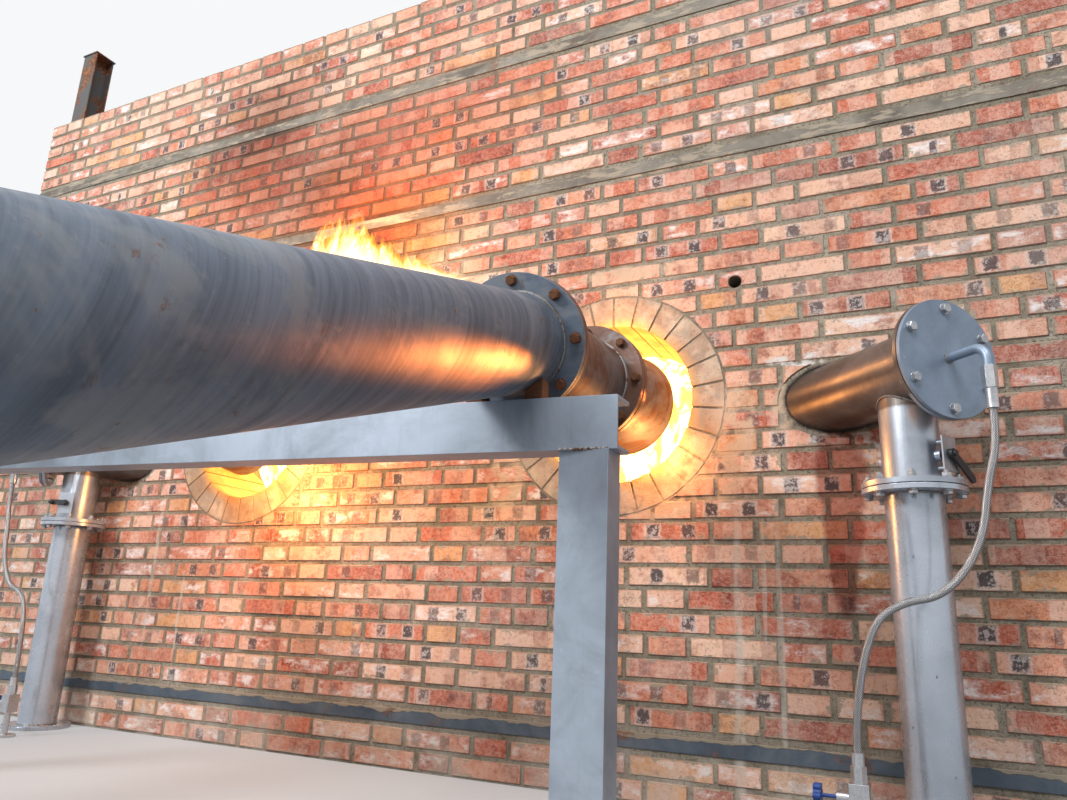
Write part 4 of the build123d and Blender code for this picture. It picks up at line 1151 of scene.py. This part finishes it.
for side in risers:
    softened("damper_" + side, "damperLever_" + side, "leverSteel", 0.0008, body="damper_" + side, slot="dark_steel")
print("side burners done")


# fire in the ports and the flame that climbs the wall
fire = {"edge": 0.2570, "inner": 0.100, "near": 0.240, "far": 0.330, "wave": 0.012}
back = fire["far"] + 0.004
bowl = [(0.001, fire["near"] + 0.03), (fire["inner"], fire["near"]), (0.19, 0.262), (0.235, 0.295),
        (fire["edge"], fire["far"]), (fire["edge"], back), (0.001, back)]
for side, (x, z) in ports.items():
    bm = bmesh.new()
    turnedShape(bm, bowl, (x, front, z), (0, 1, 0), 64)
    for vert in bm.verts:
        away = Vector((vert.co.x - x, 0, vert.co.z - z))
        if 0.16 < away.length < 0.25:
            vert.co.y += fire["wave"] * noise.noise(vert.co * 14)
    finishPiece(bm, "portFire_" + side, "fire", smooth=60)


tongues = {"top": [(-0.86, 1.40), (-0.70, 1.58), (-0.56, 1.76), (-0.46, 1.88), (-0.37, 1.95), (-0.29, 1.965),
                   (-0.21, 1.925), (-0.14, 1.860), (-0.06, 1.795), (0.05, 1.735), (0.16, 1.680), (0.28, 1.630)],
           "bottom": [(-0.86, 1.385), (-0.60, 1.40), (-0.40, 1.44), (0.28, 1.625)],
           "sheets": [(0.060, 0.4), (0.095, 2.3), (0.130, 4.1)], "thick": 0.012, "lick": 0.030, "across": 90,
           "up": 12}


def heightAt(line, x):
    for (x0, z0), (x1, z1) in zip(line, line[1:]):
        if x <= x1:
            return z0 + (z1 - z0) * (x - x0) / (x1 - x0)
    return line[-1][1]


bm = bmesh.new()
flameUv = bm.loops.layers.uv.new("alongFlame")
for away, phase in tongues["sheets"]:
    t = tongues
    first, last = t["top"][0][0], t["top"][-1][0]
    grid = {}
    for face in (1, -1):
        for i in range(t["across"] + 1):
            u = i / t["across"]
            x = first + (last - first) * u
            lick = sin(38 * x + phase) + 0.7 * sin(67 * x - 2 * phase) + 0.5 * sin(113 * x + 3 * phase)
            low = heightAt(t["bottom"], x)
            high = max(low + 0.002, heightAt(t["top"], x) + t["lick"] * 0.5 * lick * sin(pi * u) ** 0.5)
            for j in range(t["up"] + 1):
                v = j / t["up"]
                bulge = face * t["thick"] * sin(pi * v) * sin(pi * u)
                lean = 0.018 * sin(9 * v + phase) * v
                grid[face, i, j] = bm.verts.new((x + lean, front - away + bulge, low + (high - low) * v))
        for i in range(t["across"]):
            for j in range(t["up"]):
                corners = [(i, j), (i + 1, j), (i + 1, j + 1), (i, j + 1)][::-face]
                made = bm.faces.new([grid[face, a, b] for a, b in corners])
                for loop, (a, b) in zip(made.loops, corners):
                    loop[flameUv].uv = (a / t["across"], b / t["up"])
bmesh.ops.remove_doubles(bm, verts=bm.verts, dist=1e-6)
bmesh.ops.recalc_face_normals(bm, faces=bm.faces)
finishPiece(bm, "flameTongues", "tongue", smooth=70)
print("fire done")


# plain floor, backdrop and soft light
stage = {"floor": (0.165, 0.180, 0.195), "floorPale": (0.93, 0.93, 0.94), "paleShare": 0.34,
         "backdrop": (0.93, 0.94, 0.95), "light": (0.93, 0.96, 1.0), "lightStrength": 0.32}


def seenDirectly():
    rays = addNode("LightPath").outputs
    return larger(larger(rays["Is Camera Ray"], rays["Is Transmission Ray"]), rays["Is Glossy Ray"])


def makeStage():
    bm = bmesh.new()
    bmesh.ops.create_grid(bm, x_segments=1, y_segments=1, size=30.0, matrix=Matrix.Translation((0, 0, -0.001)))
    floor = addObject("floor", asMesh("floor", bm))
    look, shader, _ = startMaterial("floorPale", roughness=0.85)
    feed(shader, Base_Color=stage["floor"], Emission_Color=stage["floorPale"],
         Emission_Strength=times(seenDirectly(), stage["paleShare"]))
    floor.data.materials.append(look)
    world = bpy.data.worlds.new("studio")
    scene.world = world
    world.use_nodes = True
    drawing["tree"] = world.node_tree
    nodes = world.node_tree.nodes
    soft = nodes["Background"]
    feed(soft, Color=stage["light"], Strength=stage["lightStrength"])
    pale = addNode("Background", {"Color": stage["backdrop"], "Strength": 1.0})
    both = addNode("MixShader", {0: seenDirectly(), 1: soft.outputs[0], 2: pale.outputs[0]})
    feed(nodes["World Output"], Surface=both.outputs[0])


def addLamp(name, place, target, size, power, color=(1, 1, 1), spread=180):
    data = bpy.data.lights.new(name, "AREA")
    data.spread = radians(spread)
    data.shape, data.size, data.size_y, data.energy, data.color = "RECTANGLE", size[0], size[1], power, color
    lamp = addObject(name, data)
    away = Vector(place) - Vector(target)
    lamp.matrix_world = Matrix.Translation(place) @ away.to_track_quat("Z", "Y").to_matrix().to_4x4()


def addFireLight(name, place, power, radius):
    data = bpy.data.lights.new(name, "POINT")
    data.energy, data.shadow_soft_size, data.color = power, radius, (1.0, 0.42, 0.12)
    lamp = addObject(name, data)
    lamp.matrix_world = Matrix.Translation(place)
    lamp.visible_camera = False


makeStage()
addLamp("keyLamp", (-2.9, -6.7, 4.9), (0.3, -1.5, 1.0), (1.6, 1.6), 420)
addLamp("topLamp", (2.6, -6.0, 7.2), (0.5, -1.5, 1.4), (4.0, 3.0), 400)
addLamp("backLamp", (0.0, 9.0, 7.0), (0, 1.5, 1.5), (6.0, 4.0), 300)
addFireLight("fireLightRight", (0.950, front - 0.075, 0.975), 3.5, 0.05)
addFireLight("fireLightRightTop", (0.80, front - 0.075, 1.370), 2, 0.04)
addFireLight("fireLightLeft", (-0.45, front - 0.22, 0.985), 22, 0.07)
addFireLight("fireLightTongue", (-0.25, front - 0.22, 1.86), 20, 0.09)
addLamp("fireGlow", (0.985, front - 0.04, 1.130), (0.941, -2.67, 0.900), (0.035, 0.035), 0.13, (1.0, 0.25, 0.05), 8)


scene.view_settings.view_transform = "Standard"
